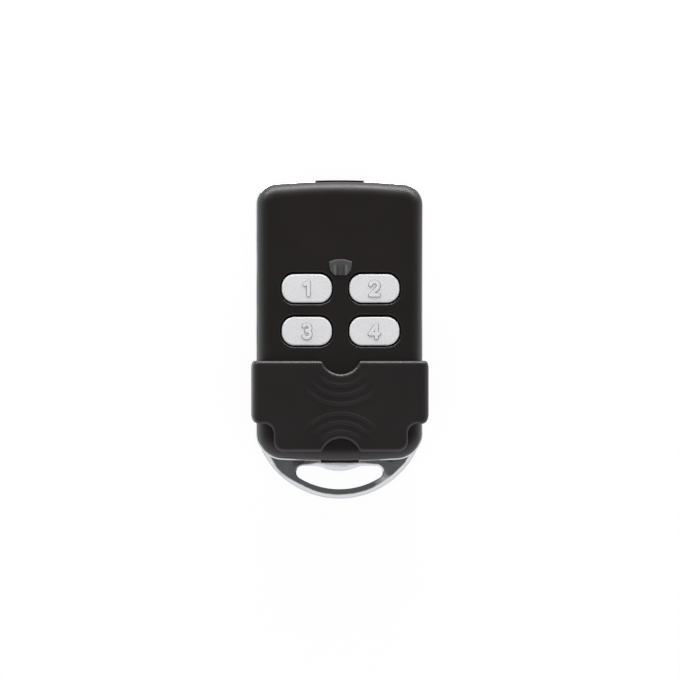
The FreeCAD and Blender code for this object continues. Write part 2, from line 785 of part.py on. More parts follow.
def cover_outline():
    """The cover seen from the front: ears, shoulders, a tongue and a notch at each end."""
    low_z = 0
    high_z = cover_z + margin
    tongue = case_half_width_bottom - cover_tongue_inset
    ears = box(-cover_half_width, cover_half_width, cover_ear_bottom_y, cover_top_y, low_z, high_z)
    tail = box(-tongue, tongue, cover_bottom_y, cover_top_y, low_z, high_z)
    plan = one_solid(ears.fuse(tail).removeSplitter())
    plan = plan.makeFillet(cover_ear_top_radius, upright_edges(
        plan, lambda x, y: abs(y - cover_top_y) < tiny))
    plan = plan.makeFillet(cover_ear_bottom_radius, upright_edges(
        plan, lambda x, y: abs(x) > tongue + tiny and abs(y - cover_ear_bottom_y) < tiny))
    plan = plan.makeFillet(cover_shoulder_radius, upright_edges(
        plan, lambda x, y: abs(abs(x) - tongue) < tiny and abs(y - cover_ear_bottom_y) < tiny))
    plan = plan.makeFillet(cover_tongue_radius, upright_edges(
        plan, lambda x, y: abs(abs(x) - tongue) < tiny and abs(y - cover_bottom_y) < tiny))
    notches = [cylinder(0, centre_y, 2 * cover_notch_radius, low_z - margin, high_z + margin)
               for centre_y in notch_centres]
    return one_solid(plan.cut(notches))


def grip_ridges():
    """Fine arcs about each notch, raised on the cover's panel for the thumb."""
    ridges = []
    height = grip_height + cover_edge_rounding
    for centre_y, facing in zip(notch_centres, (-90, 90)):
        foot = vec(0, centre_y, cover_z - cover_edge_rounding)
        for index in range(grip_count):
            radius = grip_first_radius + index * grip_pitch
            outer, inner = [
                Part.makeCylinder(radius + half, height, foot, vec(0, 0, 1), 2 * grip_half_angle)
                for half in (grip_width / 2, -grip_width / 2)
            ]
            ridge = outer.cut(inner)
            ridge.rotate(foot, vec(0, 0, 1), facing - grip_half_angle)
            ridges.append(ridge)
    return ridges


def make_cover():
    """Sliding cover: a panel over the face, a wall down each side and a lip in each groove."""
    long_low_y = cover_bottom_y - margin
    long_high_y = cover_top_y + margin
    block = box(-cover_half_width, cover_half_width, long_low_y, long_high_y, cover_lip_height, cover_z)
    long_top = level_edges(block, cover_z, lambda p: abs(p.x) > cover_inner_half_width)
    block = block.makeFillet(cover_side_rounding, long_top)
    lip_top_z = cover_lip_height + cover_lip_thickness
    inside = box(-cover_inner_half_width, cover_inner_half_width, long_low_y - margin, long_high_y + margin,
                 lip_top_z, cover_inner_z)
    inner_top = level_edges(inside, cover_inner_z, lambda p: abs(p.x) > cover_inner_half_width - tiny)
    inside = inside.makeFillet(cover_side_wall, inner_top)
    lip_end = cover_inner_half_width - cover_lip_reach
    between = box(-lip_end, lip_end, long_low_y - margin, long_high_y + margin,
                  cover_lip_height - margin, lip_top_z + margin)
    cover = block.cut([inside, between]).common(cover_outline())
    cover = one_solid(cover)
    rim = level_edges(cover, cover_z, lambda p: abs(p.x) < cover_half_width - cover_side_rounding - tiny)
    cover = cover.makeFillet(cover_edge_rounding, rim)
    return one_solid(fuse_all(cover, grip_ridges()))


def build():
    """Every sub-part by its name."""
    parts = {
        "front_shell": make_front_shell(),
        "back_shell": make_back_shell(),
        "chrome_frame": make_chrome_frame(),
        "slide_cover": make_cover(),
        "circuit_board": make_board(),
        "led_lens": make_lens(),
        "indicator_led": make_led(),
        "encoder_chip": make_chip(),
        "saw_resonator": make_resonator(),
        "rf_transistor": make_transistor(),
        "chip_resistors": make_passives(resistor_count, resistor_first_x, passive_pitch),
        "chip_capacitors": make_passives(capacitor_count, capacitor_first_x, passive_pitch),
        "antenna_loop": make_antenna(),
        "battery": make_battery(),
        "battery_contact_positive": make_contact(1),
        "battery_contact_negative": make_contact(-1),
        "case_screws": make_screws(),
    }
    for number, (x, y) in enumerate(button_places, start=1):
        parts[f"button_{number}"] = make_button(x, y)
        parts[f"switch_{number}"] = make_switch(x, y)
        parts[f"switch_plunger_{number}"] = make_plunger(x, y)
    return parts


os.makedirs("parts", exist_ok=True)
for name, shape in build().items():
    shape.exportStep(f"parts/{name}.step")
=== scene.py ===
import math
from functools import partial

import bmesh
import bpy
import numpy as np
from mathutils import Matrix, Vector
from mathutils.geometry import delaunay_2d_cdt


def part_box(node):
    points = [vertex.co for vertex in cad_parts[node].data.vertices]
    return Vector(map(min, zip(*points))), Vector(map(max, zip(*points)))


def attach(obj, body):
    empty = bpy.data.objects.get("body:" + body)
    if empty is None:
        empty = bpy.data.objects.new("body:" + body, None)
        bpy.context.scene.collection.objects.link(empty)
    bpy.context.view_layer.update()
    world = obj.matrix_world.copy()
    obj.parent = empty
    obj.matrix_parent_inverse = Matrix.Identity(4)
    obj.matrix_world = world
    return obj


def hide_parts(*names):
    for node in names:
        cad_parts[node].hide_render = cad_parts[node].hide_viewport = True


# The looks of a gate remote control: two black shells clamp a plated rim with a key loop,
# four silver buttons stand in the face, and a black cover slides up over them.
# +Z points out of the face and +Y away from the key loop. Lengths are in metres.

bl_info = {
    "name": "Gate remote control",
    "version": (1, 0, 0),
    "blender": (4, 5, 0),
    "location": "3D View > Sidebar > Gate remote",
    "description": "Makes the looks of a gate remote control round its packed frame",
    "category": "Object",
}

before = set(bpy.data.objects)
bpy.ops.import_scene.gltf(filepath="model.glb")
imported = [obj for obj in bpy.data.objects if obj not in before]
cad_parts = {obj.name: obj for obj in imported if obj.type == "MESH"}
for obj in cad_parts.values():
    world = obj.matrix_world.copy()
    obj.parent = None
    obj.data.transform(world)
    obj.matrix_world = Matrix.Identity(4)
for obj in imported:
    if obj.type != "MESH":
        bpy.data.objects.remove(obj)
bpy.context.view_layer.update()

MM = 0.001
RIGHT_ANGLE = math.pi / 2
ARC_STEP = math.radians(5.0)
MERGE_DISTANCE = 0.0005 * MM
SHARP_ANGLE = math.radians(38.0)
FILL_ALL = 0
FILL_DISTANCE = 1e-6


def linear(hex_colour):
    """An sRGB hex colour as linear red, green and blue with full alpha."""
    parts = np.array([int(hex_colour[i:i + 2], 16) / 255 for i in (1, 3, 5)])
    low = parts / 12.92
    high = ((parts + 0.055) / 1.055) ** 2.4
    return (*np.where(parts <= 0.04045, low, high).tolist(), 1.0)


def length(name, description, default):
    """A length that a user may change, in metres."""
    return bpy.props.FloatProperty(
        name=name, description=description, default=default, min=0.0, unit="LENGTH", precision=5)


def colour(name, description, default):
    """A finish's base colour that a user may change, given as sRGB hex."""
    return bpy.props.FloatVectorProperty(
        name=name, description=description, default=linear(default), size=4, min=0.0, max=1.0,
        subtype="COLOR")


class GateRemoteSizes(bpy.types.PropertyGroup):
    """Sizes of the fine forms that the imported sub-parts leave out."""

    loop_step: length("Loop step", "How far the key loop lies below the rim's top", 0.35 * MM)
    bevel_width: length("Bevel width", "Width of the key loop's outer bevel", 1.0 * MM)
    bevel_drop: length("Bevel drop", "Height of the key loop's outer bevel", 0.6 * MM)
    bulge_width: length("Bulge width", "Width of the web's roll into the key slot", 2.2 * MM)
    numeral_height: length("Numeral height", "Height of the figures on the buttons", 3.7 * MM)
    numeral_weight: length("Numeral weight", "Width of the strokes of the figures", 0.86 * MM)
    numeral_rise: length("Numeral rise", "How far the figures stand off the caps", 0.09 * MM)


class GateRemoteColours(bpy.types.PropertyGroup):
    """Base colours of the finishes."""

    shell: colour("Shells", "Black moulding of the front and back shell", "#1a1213")
    cover: colour("Cover", "Black moulding of the sliding cover", "#231d1e")
    chrome: colour("Chrome", "Bright plating of the rim and key loop", "#d4d6da")
    silver: colour("Buttons", "Pearl paint of the button caps", "#fdfdff")
    # Painted shade: the near black of the buttons' walls behind the face, which stands for the
    # shade in the gaps round the caps.
    cavity: colour("Gaps", "Bare plastic of the buttons behind the face", "#0c0b0c")
    smoke: colour("Lens", "Smoked window over the light", "#807f81")
    floor: colour("Floor", "Pale studio floor", "#f2f2f2")


class GateRemoteStage(bpy.types.PropertyGroup):
    """Where the camera and lights stand."""

    camera_distance: length("Camera distance", "From the face to the camera", 1.2)
    frame_width: length("Frame width", "Width that the picture takes in at the face", 0.1447)
    camera_turn: bpy.props.FloatProperty(
        name="Camera turn", description="How far the camera stands to the left of straight above",
        default=math.radians(2.7), subtype="ANGLE")
    floor_size: length("Floor size", "Side of the square floor", 6.0)


# Outlines: closed lines seen from the front, as points with unit vectors out of the solid


def angle_of(vector):
    """The direction of a vector on the plane, as an angle from +X."""
    return math.atan2(vector[1], vector[0])


def arc_path(centre, radius, start, end, bulge=1):
    """Points on a circle between two angles, with the way out of the solid: away from the
    circle's centre where the outline bulges out (1), towards it where it is hollow (-1)."""
    count = max(2, math.ceil(abs(end - start) / ARC_STEP) + 1)
    angle = np.linspace(start, end, count)
    away = np.stack([np.cos(angle), np.sin(angle)], 1)
    return np.asarray(centre) + radius * away, bulge * away


def closed_path(arcs):
    """Arcs joined by straight lines into one outline, without the points that repeat."""
    points = np.concatenate([arc[0] for arc in arcs])
    ways = np.concatenate([arc[1] for arc in arcs])
    keep = np.linalg.norm(points - np.roll(points, 1, 0), axis=1) > MERGE_DISTANCE
    return points[keep], ways[keep]


def mirrored_path(arcs):
    """The outline whose right half runs up through these arcs, with its left half added."""
    points = np.concatenate([arc[0] for arc in arcs])
    ways = np.concatenate([arc[1] for arc in arcs])
    flip = np.array([-1.0, 1.0])
    return closed_path([(points, ways), (points[::-1] * flip, ways[::-1] * flip)])


def side_ways(low, high):
    """Unit vectors along a straight side of the right half, going up, and from it inwards."""
    along = (high - low) / np.linalg.norm(high - low)
    return along, np.array([-along[1], along[0]])


def corner_in_arch(line_point, line_way, inward, arch_centre, arch_radius, radius, side):
    """Centre of a corner's arc that touches a straight side and the inside of a shallow arch:
    it lies on the side's line moved in by the radius, at the arch's radius less its own."""
    start = line_point + radius * inward - arch_centre
    along = start @ line_way
    reach = math.sqrt(along ** 2 - start @ start + (arch_radius - radius) ** 2)
    return arch_centre + start + (side * reach - along) * line_way


def corner_path(before, corner, after, radius):
    """A round corner between two straight lines of an anticlockwise outline: its centre lies
    on the line that halves the corner, the radius over the sine of half the angle away."""
    before, corner, after = (np.asarray(point, float) for point in (before, corner, after))
    back = (before - corner) / np.linalg.norm(before - corner)
    ahead = (after - corner) / np.linalg.norm(after - corner)
    half = math.acos(back @ ahead) / 2
    middle = (back + ahead) / np.linalg.norm(back + ahead)
    centre = corner + middle * radius / math.sin(half)
    start = angle_of(corner + back * radius / math.tan(half) - centre)
    end = angle_of(corner + ahead * radius / math.tan(half) - centre)
    end = start + (end - start + math.pi) % (2 * math.pi) - math.pi
    return arc_path(centre, radius, start, end, 1 if end > start else -1)


def dense_path(path, step):
    """The outline with points added along its straight lines, at most a step apart."""
    points, ways = path
    ahead = np.roll(points, -1, 0)
    ahead_ways = np.roll(ways, -1, 0)
    counts = np.maximum(1, np.ceil(np.linalg.norm(ahead - points, axis=1) / step)).astype(int)
    index = np.repeat(np.arange(len(points)), counts)
    first = np.cumsum(counts) - counts
    share = ((np.arange(len(index)) - first[index]) / counts[index])[:, None]
    new_ways = ways[index] * (1 - share) + ahead_ways[index] * share
    new_ways /= np.linalg.norm(new_ways, axis=1, keepdims=True)
    return points[index] * (1 - share) + ahead[index] * share, new_ways


def case_arcs(inset):
    """The right half of the case seen from the front, moved in by an inset: shallow arches at
    both ends, a side that tapers to the key loop's end, and two round corners."""
    return rounded_case(CASE_HALF_TOP - inset, CASE_HALF_LOW - inset, case_high.y - inset,
                        CASE_LOW_Y + inset, END_ARCH - inset, TOP_CORNER - inset,
                        LOW_CORNER - inset)


def rounded_case(top_half, low_half, top_y, low_y, arch, top_radius, low_radius):
    """The right half of a case outline, from its lowest to its highest point."""
    top_centre = np.array([0.0, top_y - arch])
    low_centre = np.array([0.0, low_y + arch])
    top_point = np.array([top_half, top_centre[1] + math.sqrt(arch ** 2 - top_half ** 2)])
    low_point = np.array([low_half, low_centre[1] - math.sqrt(arch ** 2 - low_half ** 2)])
    way, inward = side_ways(low_point, top_point)
    out_angle = angle_of(-inward)
    low_corner = corner_in_arch(low_point, way, inward, low_centre, arch, low_radius, -1)
    top_corner = corner_in_arch(top_point, way, inward, top_centre, arch, top_radius, 1)
    low_angle = angle_of(low_corner - low_centre)
    top_angle = angle_of(top_corner - top_centre)
    return [
        arc_path(low_centre, arch, -RIGHT_ANGLE, low_angle),
        arc_path(low_corner, low_radius, low_angle, out_angle),
        arc_path(top_corner, top_radius, out_angle, top_angle),
        arc_path(top_centre, arch, top_angle, RIGHT_ANGLE),
    ]


def bar_path(x, y, half_width, half_height, radius):
    """A rectangle with four round corners about (x, y)."""
    centres = [(1, -1), (1, 1), (-1, 1), (-1, -1)]
    return closed_path([
        arc_path((x + sx * (half_width - radius), y + sy * (half_height - radius)), radius,
                 (corner - 1) * RIGHT_ANGLE, corner * RIGHT_ANGLE)
        for corner, (sx, sy) in enumerate(centres)
    ])


# Patches: vertex and face arrays, put together into one mesh


def grid_patch(points, closed=True):
    """Quads over a grid of points, rows by columns, whose columns may close on themselves."""
    rows, columns = points.shape[:2]
    index = np.arange(rows * columns).reshape(rows, columns)
    if closed:
        index = np.concatenate([index, index[:, :1]], 1)
    quads = np.stack([index[:-1, :-1], index[:-1, 1:], index[1:, 1:], index[1:, :-1]], -1)
    return points.reshape(-1, 3), quads.reshape(-1, 4)


def carried(path, insets, heights):
    """A profile carried along an outline: each point moves in from the outline by its inset,
    against the outline's way out, and up to its height. Either may change along the path."""
    points, ways = path
    insets = np.broadcast_to(np.asarray(insets, float).reshape(len(insets), -1),
                             (len(insets), len(points)))
    heights = np.broadcast_to(np.asarray(heights, float).reshape(len(heights), -1), insets.shape)
    flat = points - insets[..., None] * ways
    return np.concatenate([flat, heights[..., None]], 2)


def inside(points, loop):
    """Which points lie in a closed loop: those whose ray along +X crosses it an odd number
    of times."""
    end = np.roll(loop, -1, 0)
    y = points[:, 1:2]
    crosses = (loop[:, 1] > y) != (end[:, 1] > y)
    rise = np.where(end[:, 1] == loop[:, 1], 1.0, end[:, 1] - loop[:, 1])
    x = loop[:, 0] + (y - loop[:, 1]) / rise * (end[:, 0] - loop[:, 0])
    return (crosses & (points[:, 0:1] < x)).sum(1) % 2 == 1


def between(points, loops):
    """Which points lie in the first loop and outside the others."""
    keep = inside(points, loops[0])
    for loop in loops[1:]:
        keep &= ~inside(points, loop)
    return keep


def filled(loops, extra=None, clear=0.0):
    """Triangles that fill the first loop and leave out the others, with extra points between
    them that keep clear of the loops. Returns points on the plane and faces."""
    points = np.concatenate(loops)
    ends = np.cumsum([len(loop) for loop in loops])
    edges = []
    for loop, end in zip(loops, ends):
        ring = np.arange(end - len(loop), end)
        edges.append(np.stack([ring, np.roll(ring, -1)], 1))
    if extra is not None:
        extra = extra[between(extra, loops)]
        points = np.concatenate([points, extra[nearest(extra, points) > clear]])
    found = delaunay_2d_cdt([Vector(p) for p in (points / MM).tolist()],
                            np.concatenate(edges).tolist(), [], FILL_ALL, FILL_DISTANCE)
    flat = np.array([tuple(p) for p in found[0]]) * MM
    faces = np.array(found[2])
    return flat, faces[between(flat[faces].mean(1), loops)]


def nearest(points, others):
    """The distance from each point to the nearest of the others."""
    return np.linalg.norm(points[:, None] - others[None], axis=2).min(1)


def level_patch(loops, height):
    """A flat face at one height between loops."""
    flat, faces = filled(loops)
    return np.column_stack([flat, np.full(len(flat), height)]), faces


def make_mesh(name, patches):
    """One mesh from patches, with its doubles merged, its faces turned outwards, and smooth
    shading broken only at real edges."""
    corners, starts, points, first = [], [], [], 0
    for vertices, faces in patches:
        points.append(vertices)
        corners.append((faces + first).ravel())
        starts.append(np.full(len(faces), faces.shape[1]))
        first += len(vertices)
    sizes = np.concatenate(starts)
    points = np.concatenate(points).astype(np.float32)
    mesh = bpy.data.meshes.new(name)
    mesh.vertices.add(len(points))
    mesh.vertices.foreach_set("co", points.ravel())
    mesh.loops.add(int(sizes.sum()))
    mesh.loops.foreach_set("vertex_index", np.concatenate(corners).astype(np.int32))
    mesh.polygons.add(len(sizes))
    mesh.polygons.foreach_set("loop_start", (np.cumsum(sizes) - sizes).astype(np.int32))
    mesh.update(calc_edges=True)
    tidy_mesh(mesh)
    return mesh


def tidy_mesh(mesh):
    """Merges doubles, drops faces without area, turns faces outwards and sets the shading."""
    work = bmesh.new()
    work.from_mesh(mesh)
    bmesh.ops.remove_doubles(work, verts=work.verts, dist=MERGE_DISTANCE)
    bmesh.ops.dissolve_degenerate(work, edges=work.edges, dist=MERGE_DISTANCE / 2)
    bmesh.ops.recalc_face_normals(work, faces=work.faces)
    work.to_mesh(mesh)
    work.free()
    mesh.polygons.foreach_set("use_smooth", np.ones(len(mesh.polygons), bool))
    mesh.set_sharp_from_angle(angle=SHARP_ANGLE)
    mesh.update()


def make_piece(name, mesh, body, slot, material, *nodes):
    """A new object for a mesh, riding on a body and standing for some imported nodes."""
    piece = bpy.data.objects.new(name, mesh)
    bpy.context.scene.collection.objects.link(piece)
    mesh.materials.clear()
    mesh.materials.append(material)
    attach(piece, body)
    if nodes:
        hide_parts(*nodes)
    return piece


def combined(name, first, steps):
    """The skin of a closed mesh after each step joins another closed mesh to it or cuts it
    away: a step is the operation and the other mesh."""
    main = bpy.data.objects.new(name, first)
    bpy.context.scene.collection.objects.link(main)
    tools = []
    for operation, mesh in steps:
        tool = bpy.data.objects.new(f"{name}_tool", mesh)
        bpy.context.scene.collection.objects.link(tool)
        step = main.modifiers.new("step", "BOOLEAN")
        step.operation = operation
        step.solver = "EXACT"
        step.object = tool
        tools.append(tool)
    graph = bpy.context.evaluated_depsgraph_get()
    mesh = bpy.data.meshes.new_from_object(main.evaluated_get(graph))
    mesh.name = name
    for each in (main, *tools):
        bpy.data.objects.remove(each)
    tidy_mesh(mesh)
    return mesh


def quarter(count):
    """Sines and cosines over a quarter turn, for the section of a rounded edge."""
    angle = np.linspace(0.0, RIGHT_ANGLE, count)
    return np.sin(angle), np.cos(angle)


def smooth(value, low, high):
    """0 below low, 1 above high, and an even S between them."""
    t = np.clip((value - low) / (high - low), 0.0, 1.0)
    return t * t * (3 - 2 * t)


def middle_y(node):
    """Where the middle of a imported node's box lies along Y."""
    low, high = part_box(node)
    return (low.y + high.y) / 2


# The plated rim and its key loop

rim_low, rim_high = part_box("chrome_frame")
case_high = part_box("back_shell")[1]
RIM_BOTTOM = rim_low.z
RIM_TOP = rim_high.z
RIM_HALF = rim_high.x
CASE_TAPER = 0.25 * MM
CASE_HALF_TOP = RIM_HALF - 0.225 * MM
CASE_HALF_LOW = CASE_HALF_TOP - CASE_TAPER
CASE_LOW_Y = case_high.y - 59.45 * MM
END_ARCH = 150.0 * MM
TOP_CORNER = 4.3 * MM
LOW_CORNER = 5.3 * MM
RIM_LAP = 0.9 * MM
RIM_ROUNDING = 0.5 * MM
TOP_PROUD = 0.35 * MM
LIP_PROUD = 0.42 * MM
SUPPORT = 0.05 * MM
LOOP_RADIUS = RIM_HALF + 0.63 * MM
LOOP_CENTRE_Y = rim_low.y + LOOP_RADIUS
LOOP_BLEND = 10.0 * MM
LOOP_LIFT = 0.15 * MM
RING_WIDTH = 2.0 * MM
SLOT_TOP = rim_low.y + 7.0 * MM
SLOT_END_RADIUS = 1.4 * MM
BULGE_RADIUS = 9.0 * MM
BULGE_DROP = 1.1 * MM
BULGE_BLEND = 6.0 * MM
BULGE_REACH = 4.4 * MM
LOOP_MEETS_RIM = math.radians(-5.0)
LOOP_TUCK = 0.4 * MM
LOOP_FOOT = 0.5 * MM
EDGE_ZONE = 0.5 * MM
LOOP_EDGE = 0.12 * MM
ROLL_CURVE = 1.6
SLOT_FOOT = 0.3 * MM
SLOT_ROLL = 0.18 * MM
CROWN_ROLL = 0.4 * MM
ROLL_SLOPE = 0.45
ROLL_LEAST = 0.05 * MM
CROWN_WAYS = (-0.4, 0.7)
SLOT_STEP = 0.4 * MM
FREE_BELOW = LOOP_CENTRE_Y - 7.5 * MM
TUCKED_ABOVE = LOOP_CENTRE_Y - 4.5 * MM
BLOCK_CORNER = 0.05 * MM
TOP_TAB_HALF = 5.25 * MM
TOP_TAB_DEPTH = 0.81 * MM
LOW_TAB_HALF = 4.15 * MM
LOW_TAB_Y = (CASE_LOW_Y - 0.55 * MM, CASE_LOW_Y + 0.6 * MM)
LOW_TAB_DEPTH = 1.6 * MM


def slot_path():
    """The kidney-shaped key slot: a ring's arc below, a bulge between two crowns above."""
    loop_centre = np.array([0.0, LOOP_CENTRE_Y])
    radius = LOOP_RADIUS - RING_WIDTH
    end_y = SLOT_TOP - SLOT_END_RADIUS
    reach = radius - SLOT_END_RADIUS
    end = np.array([math.sqrt(reach ** 2 - (end_y - LOOP_CENTRE_Y) ** 2), end_y])
    end_angle = angle_of(end - loop_centre)
    bulge = np.array([0.0, SLOT_TOP - BULGE_DROP + BULGE_RADIUS])
    blend_y = SLOT_TOP - BULGE_BLEND
    span = BULGE_RADIUS + BULGE_BLEND
    blend = np.array([math.sqrt(span ** 2 - (bulge[1] - blend_y) ** 2), blend_y])
    lean = angle_of(bulge - blend)
    return mirrored_path([
        arc_path(loop_centre, radius, -RIGHT_ANGLE, end_angle, -1),
        arc_path(end, SLOT_END_RADIUS, end_angle, RIGHT_ANGLE, -1),
        arc_path(blend, BULGE_BLEND, RIGHT_ANGLE, lean, -1),
        arc_path(bulge, BULGE_RADIUS, lean - math.pi, -RIGHT_ANGLE, 1),
    ])


def loop_arcs():
    """The loop's outer edge, right half: from its lowest point up to where it meets the rim."""
    centre = np.array([0.0, LOOP_CENTRE_Y])
    reach = LOOP_RADIUS - LOOP_BLEND
    blend_x = RIM_HALF - LOOP_BLEND
    blend = np.array([blend_x, LOOP_CENTRE_Y - math.sqrt(reach ** 2 - blend_x ** 2)])
    turn = angle_of(blend - centre)
    return [
        arc_path(centre, LOOP_RADIUS, -RIGHT_ANGLE, turn),
        arc_path(blend, LOOP_BLEND, turn, LOOP_MEETS_RIM),
    ]


def loop_path():
    """The loop plate's outline, and how far each point belongs to the loop's free edge (1) or
    is tucked into the rim's ring (0)."""
    low_arch, low_corner = case_arcs(LOOP_TUCK)[:2]
    tucked = [(points[::-1], ways[::-1]) for points, ways in (low_corner, low_arch)]
    path = mirrored_path(loop_arcs() + tucked)
    reach = np.linalg.norm(path[0] - np.array([0.0, LOOP_CENTRE_Y]), axis=1)
    fade = 1 - smooth(path[0][:, 1], FREE_BELOW, TUCKED_ABOVE)
    return path, np.where(reach > LOOP_RADIUS - EDGE_ZONE, fade, 0.0)


def ring_mesh():
    """The rim ring: a flat band with round outer edges, carried along its outline, whose inner
    wall stands under the shells."""
    outer = mirrored_path(rounded_case(
        RIM_HALF, RIM_HALF, case_high.y + TOP_PROUD, CASE_LOW_Y - LIP_PROUD,
        END_ARCH + TOP_PROUD, TOP_CORNER + TOP_PROUD, LOW_CORNER + LIP_PROUD))
    inner = mirrored_path(case_arcs(RIM_LAP))
    sine, cosine = quarter(9)
    in_low = RIM_ROUNDING * (1 - sine)
    in_top = RIM_ROUNDING * (1 - cosine)
    flat = RIM_ROUNDING + SUPPORT
    edge = carried(
        outer, [flat, *in_low, *in_top, flat],
        [RIM_BOTTOM, *(RIM_BOTTOM + in_top), *(RIM_TOP - in_low), RIM_TOP])
    hole = carried(inner, [0.0, 0.0], [RIM_TOP, RIM_BOTTOM])
    return make_mesh("rim_ring", [
        grid_patch(edge), grid_patch(hole),
        level_patch([edge[-1, :, :2], hole[0, :, :2]], RIM_TOP),
        level_patch([edge[0, :, :2], hole[0, :, :2]], RIM_BOTTOM),
    ])


def loop_mesh(sizes):
    """The key loop: a plate whose free edge has a round foot and a wide convex bevel, that
    falls by its drop times (distance / width) to the power 1.6. The slot's edge rolls down in
    the same way, in a wide fall at the bulge between the crowns and a narrow one elsewhere."""
    path, free = loop_path()
    top = RIM_TOP - sizes.loop_step
    bottom = RIM_BOTTOM + LOOP_LIFT
    sine, cosine = quarter(7)
    share = np.linspace(0.0, 1.0, 12)
    bevel_in = LOOP_EDGE + (sizes.bevel_width - LOOP_EDGE) * share
    bevel_down = sizes.bevel_drop * (1 - share) ** ROLL_CURVE
    insets = np.array([
        LOOP_FOOT + SUPPORT, *(LOOP_FOOT * (1 - sine)), *(LOOP_EDGE * (1 - cosine)), *bevel_in[1:],
        sizes.bevel_width + SUPPORT])
    heights = np.array([
        bottom, *(bottom + LOOP_FOOT * (1 - cosine)),
        *(top - sizes.bevel_drop - LOOP_EDGE * (1 - sine)), *(top - bevel_down[1:]), top])
    foot_rows = 1 + len(sine)
    level = np.repeat([bottom, top], [foot_rows, len(heights) - foot_rows])
    rim = carried(path, insets[:, None] * free,
                  heights[:, None] * free + level[:, None] * (1 - free))

    slot = dense_path(slot_path(), SLOT_STEP)
    points, ways = slot
    upper = 1 - smooth(ways[:, 1], *CROWN_WAYS)
    middle = np.exp(-(points[:, 0] / BULGE_REACH) ** 2)
    width = SLOT_ROLL + upper * (CROWN_ROLL - SLOT_ROLL + (sizes.bulge_width - CROWN_ROLL) * middle)
    drop = ROLL_SLOPE * width + ROLL_LEAST
    ones = np.ones(len(points))
    slot_in = np.concatenate([
        [(SLOT_FOOT + SUPPORT) * ones], np.outer(SLOT_FOOT * (1 - sine), ones),
        np.outer(share, width), [width + SUPPORT]])
    slot_up = np.concatenate([
        [bottom * ones], np.outer(bottom + SLOT_FOOT * (1 - cosine), ones),
        top - np.outer((1 - share) ** ROLL_CURVE, drop), [top * ones]])
    hole = carried(slot, slot_in, slot_up)
    return make_mesh("key_loop", [
        grid_patch(rim), grid_patch(hole),
        level_patch([rim[-1, :, :2], hole[-1, :, :2]], top),
        level_patch([rim[0, :, :2], hole[0, :, :2]], bottom),
    ])


def block_mesh(half_width, y_range, z_range):
    """A plain block about x = 0, to cut the notches for the front shell's tabs."""
    y = (y_range[0] + y_range[1]) / 2
    path = bar_path(0.0, y, half_width, (y_range[1] - y_range[0]) / 2, BLOCK_CORNER)
    wall = carried(path, [0.0, 0.0], z_range)
    return make_mesh("block", [grid_patch(wall), level_patch([wall[0, :, :2]], z_range[0]),
                               level_patch([wall[1, :, :2]], z_range[1])])


class GATEREMOTE_OT_chrome_frame(bpy.types.Operator):
    """Makes the plated rim with its bevelled key loop"""

    bl_idname = "gate_remote.chrome_frame"
    bl_label = "Chrome frame"

    def execute(self, context):
        mesh = combined("chrome_frame_skin", ring_mesh(), [
            ("UNION", loop_mesh(context.scene.gate_remote_sizes)),
            ("DIFFERENCE", block_mesh(TOP_TAB_HALF, (rim_high.y - TOP_TAB_DEPTH, rim_high.y + MM),
                                      (RIM_BOTTOM - MM, RIM_TOP + MM))),
            ("DIFFERENCE", block_mesh(LOW_TAB_HALF, LOW_TAB_Y,
                                      (RIM_TOP - LOW_TAB_DEPTH, RIM_TOP + MM))),
        ])
        chrome = new_material("bright_chrome_plate", bright_chrome,
                              base=tuple(context.scene.gate_remote_colours.chrome))
        make_piece("rim_and_key_loop", mesh, "case", "chrome_plate", chrome, "chrome_frame")
        return {"FINISHED"}


# The four buttons and their figures

BUTTON_HALF = (5.35 * MM, 3.05 * MM)
BUTTON_DROP = 0.1 * MM
BUTTON_CORNER = 2.75 * MM
BUTTON_ROUNDING = 0.3 * MM
FLANGE_GROW = 0.9 * MM
FLANGE_HEIGHT = 0.55 * MM
PAD_RADIUS = 1.6 * MM
PAD_HEIGHT = 0.45 * MM
# Just short of a full turn, so that the pad's outline doesn't meet its own start
PAD_TURN = 2 * math.pi * 47 / 48
FIGURE_PATCH = (1.8 * MM, 2.4 * MM)
FIGURE_STEP = 0.05 * MM
FIGURE_SLOPE = 0.24 * MM
# How deep under the cap's top the silver ends and the wall is painted nearly black, as painted
# shade of the gap round the cap.
PAINTED_GAP_DEPTH = 0.6 * MM
BUTTONS = (1, 2, 3, 4)


def arc_points(x, y, radius, start, end):
    """Points along an arc, for a figure's stroke."""
    angle = np.radians(np.linspace(start, end, 19))
    return np.stack([x + radius * np.cos(angle), y + radius * np.sin(angle)], 1)


def figure_strokes(number):
    """The middle lines of a figure's strokes, each a run of points."""
    if number == 1:
        return [np.array([(-0.30, 0.56), (0.26, 1.0), (0.26, -1.0)])]
    if number == 2:
        bow = arc_points(0.0, 0.40, 0.60, 170, -38)
        return [np.concatenate([bow, [(-0.62, -1.0), (0.64, -1.0)]])]
    if number == 3:
        upper = arc_points(-0.02, 0.50, 0.50, 150, -90)
        lower = arc_points(-0.02, -0.46, 0.54, 90, -150)
        return [upper, lower]
    return [np.array([(0.28, -1.0), (0.28, 1.0), (-0.68, -0.42), (0.66, -0.42)])]


def stroke_distance(points, strokes):
    """How far each point is from the nearest stroke: on each straight run the nearest place
    is the foot of the perpendicular, held between the run's ends."""
    best = np.full(len(points), np.inf)
    for stroke in strokes:
        start, end = stroke[:-1], stroke[1:]
        run = end - start
        share = ((points[:, None] - start) * run).sum(2) / (run ** 2).sum(1)
        foot = start + np.clip(share, 0.0, 1.0)[..., None] * run
        best = np.minimum(best, np.linalg.norm(points[:, None] - foot, axis=2).min(1))
    return best


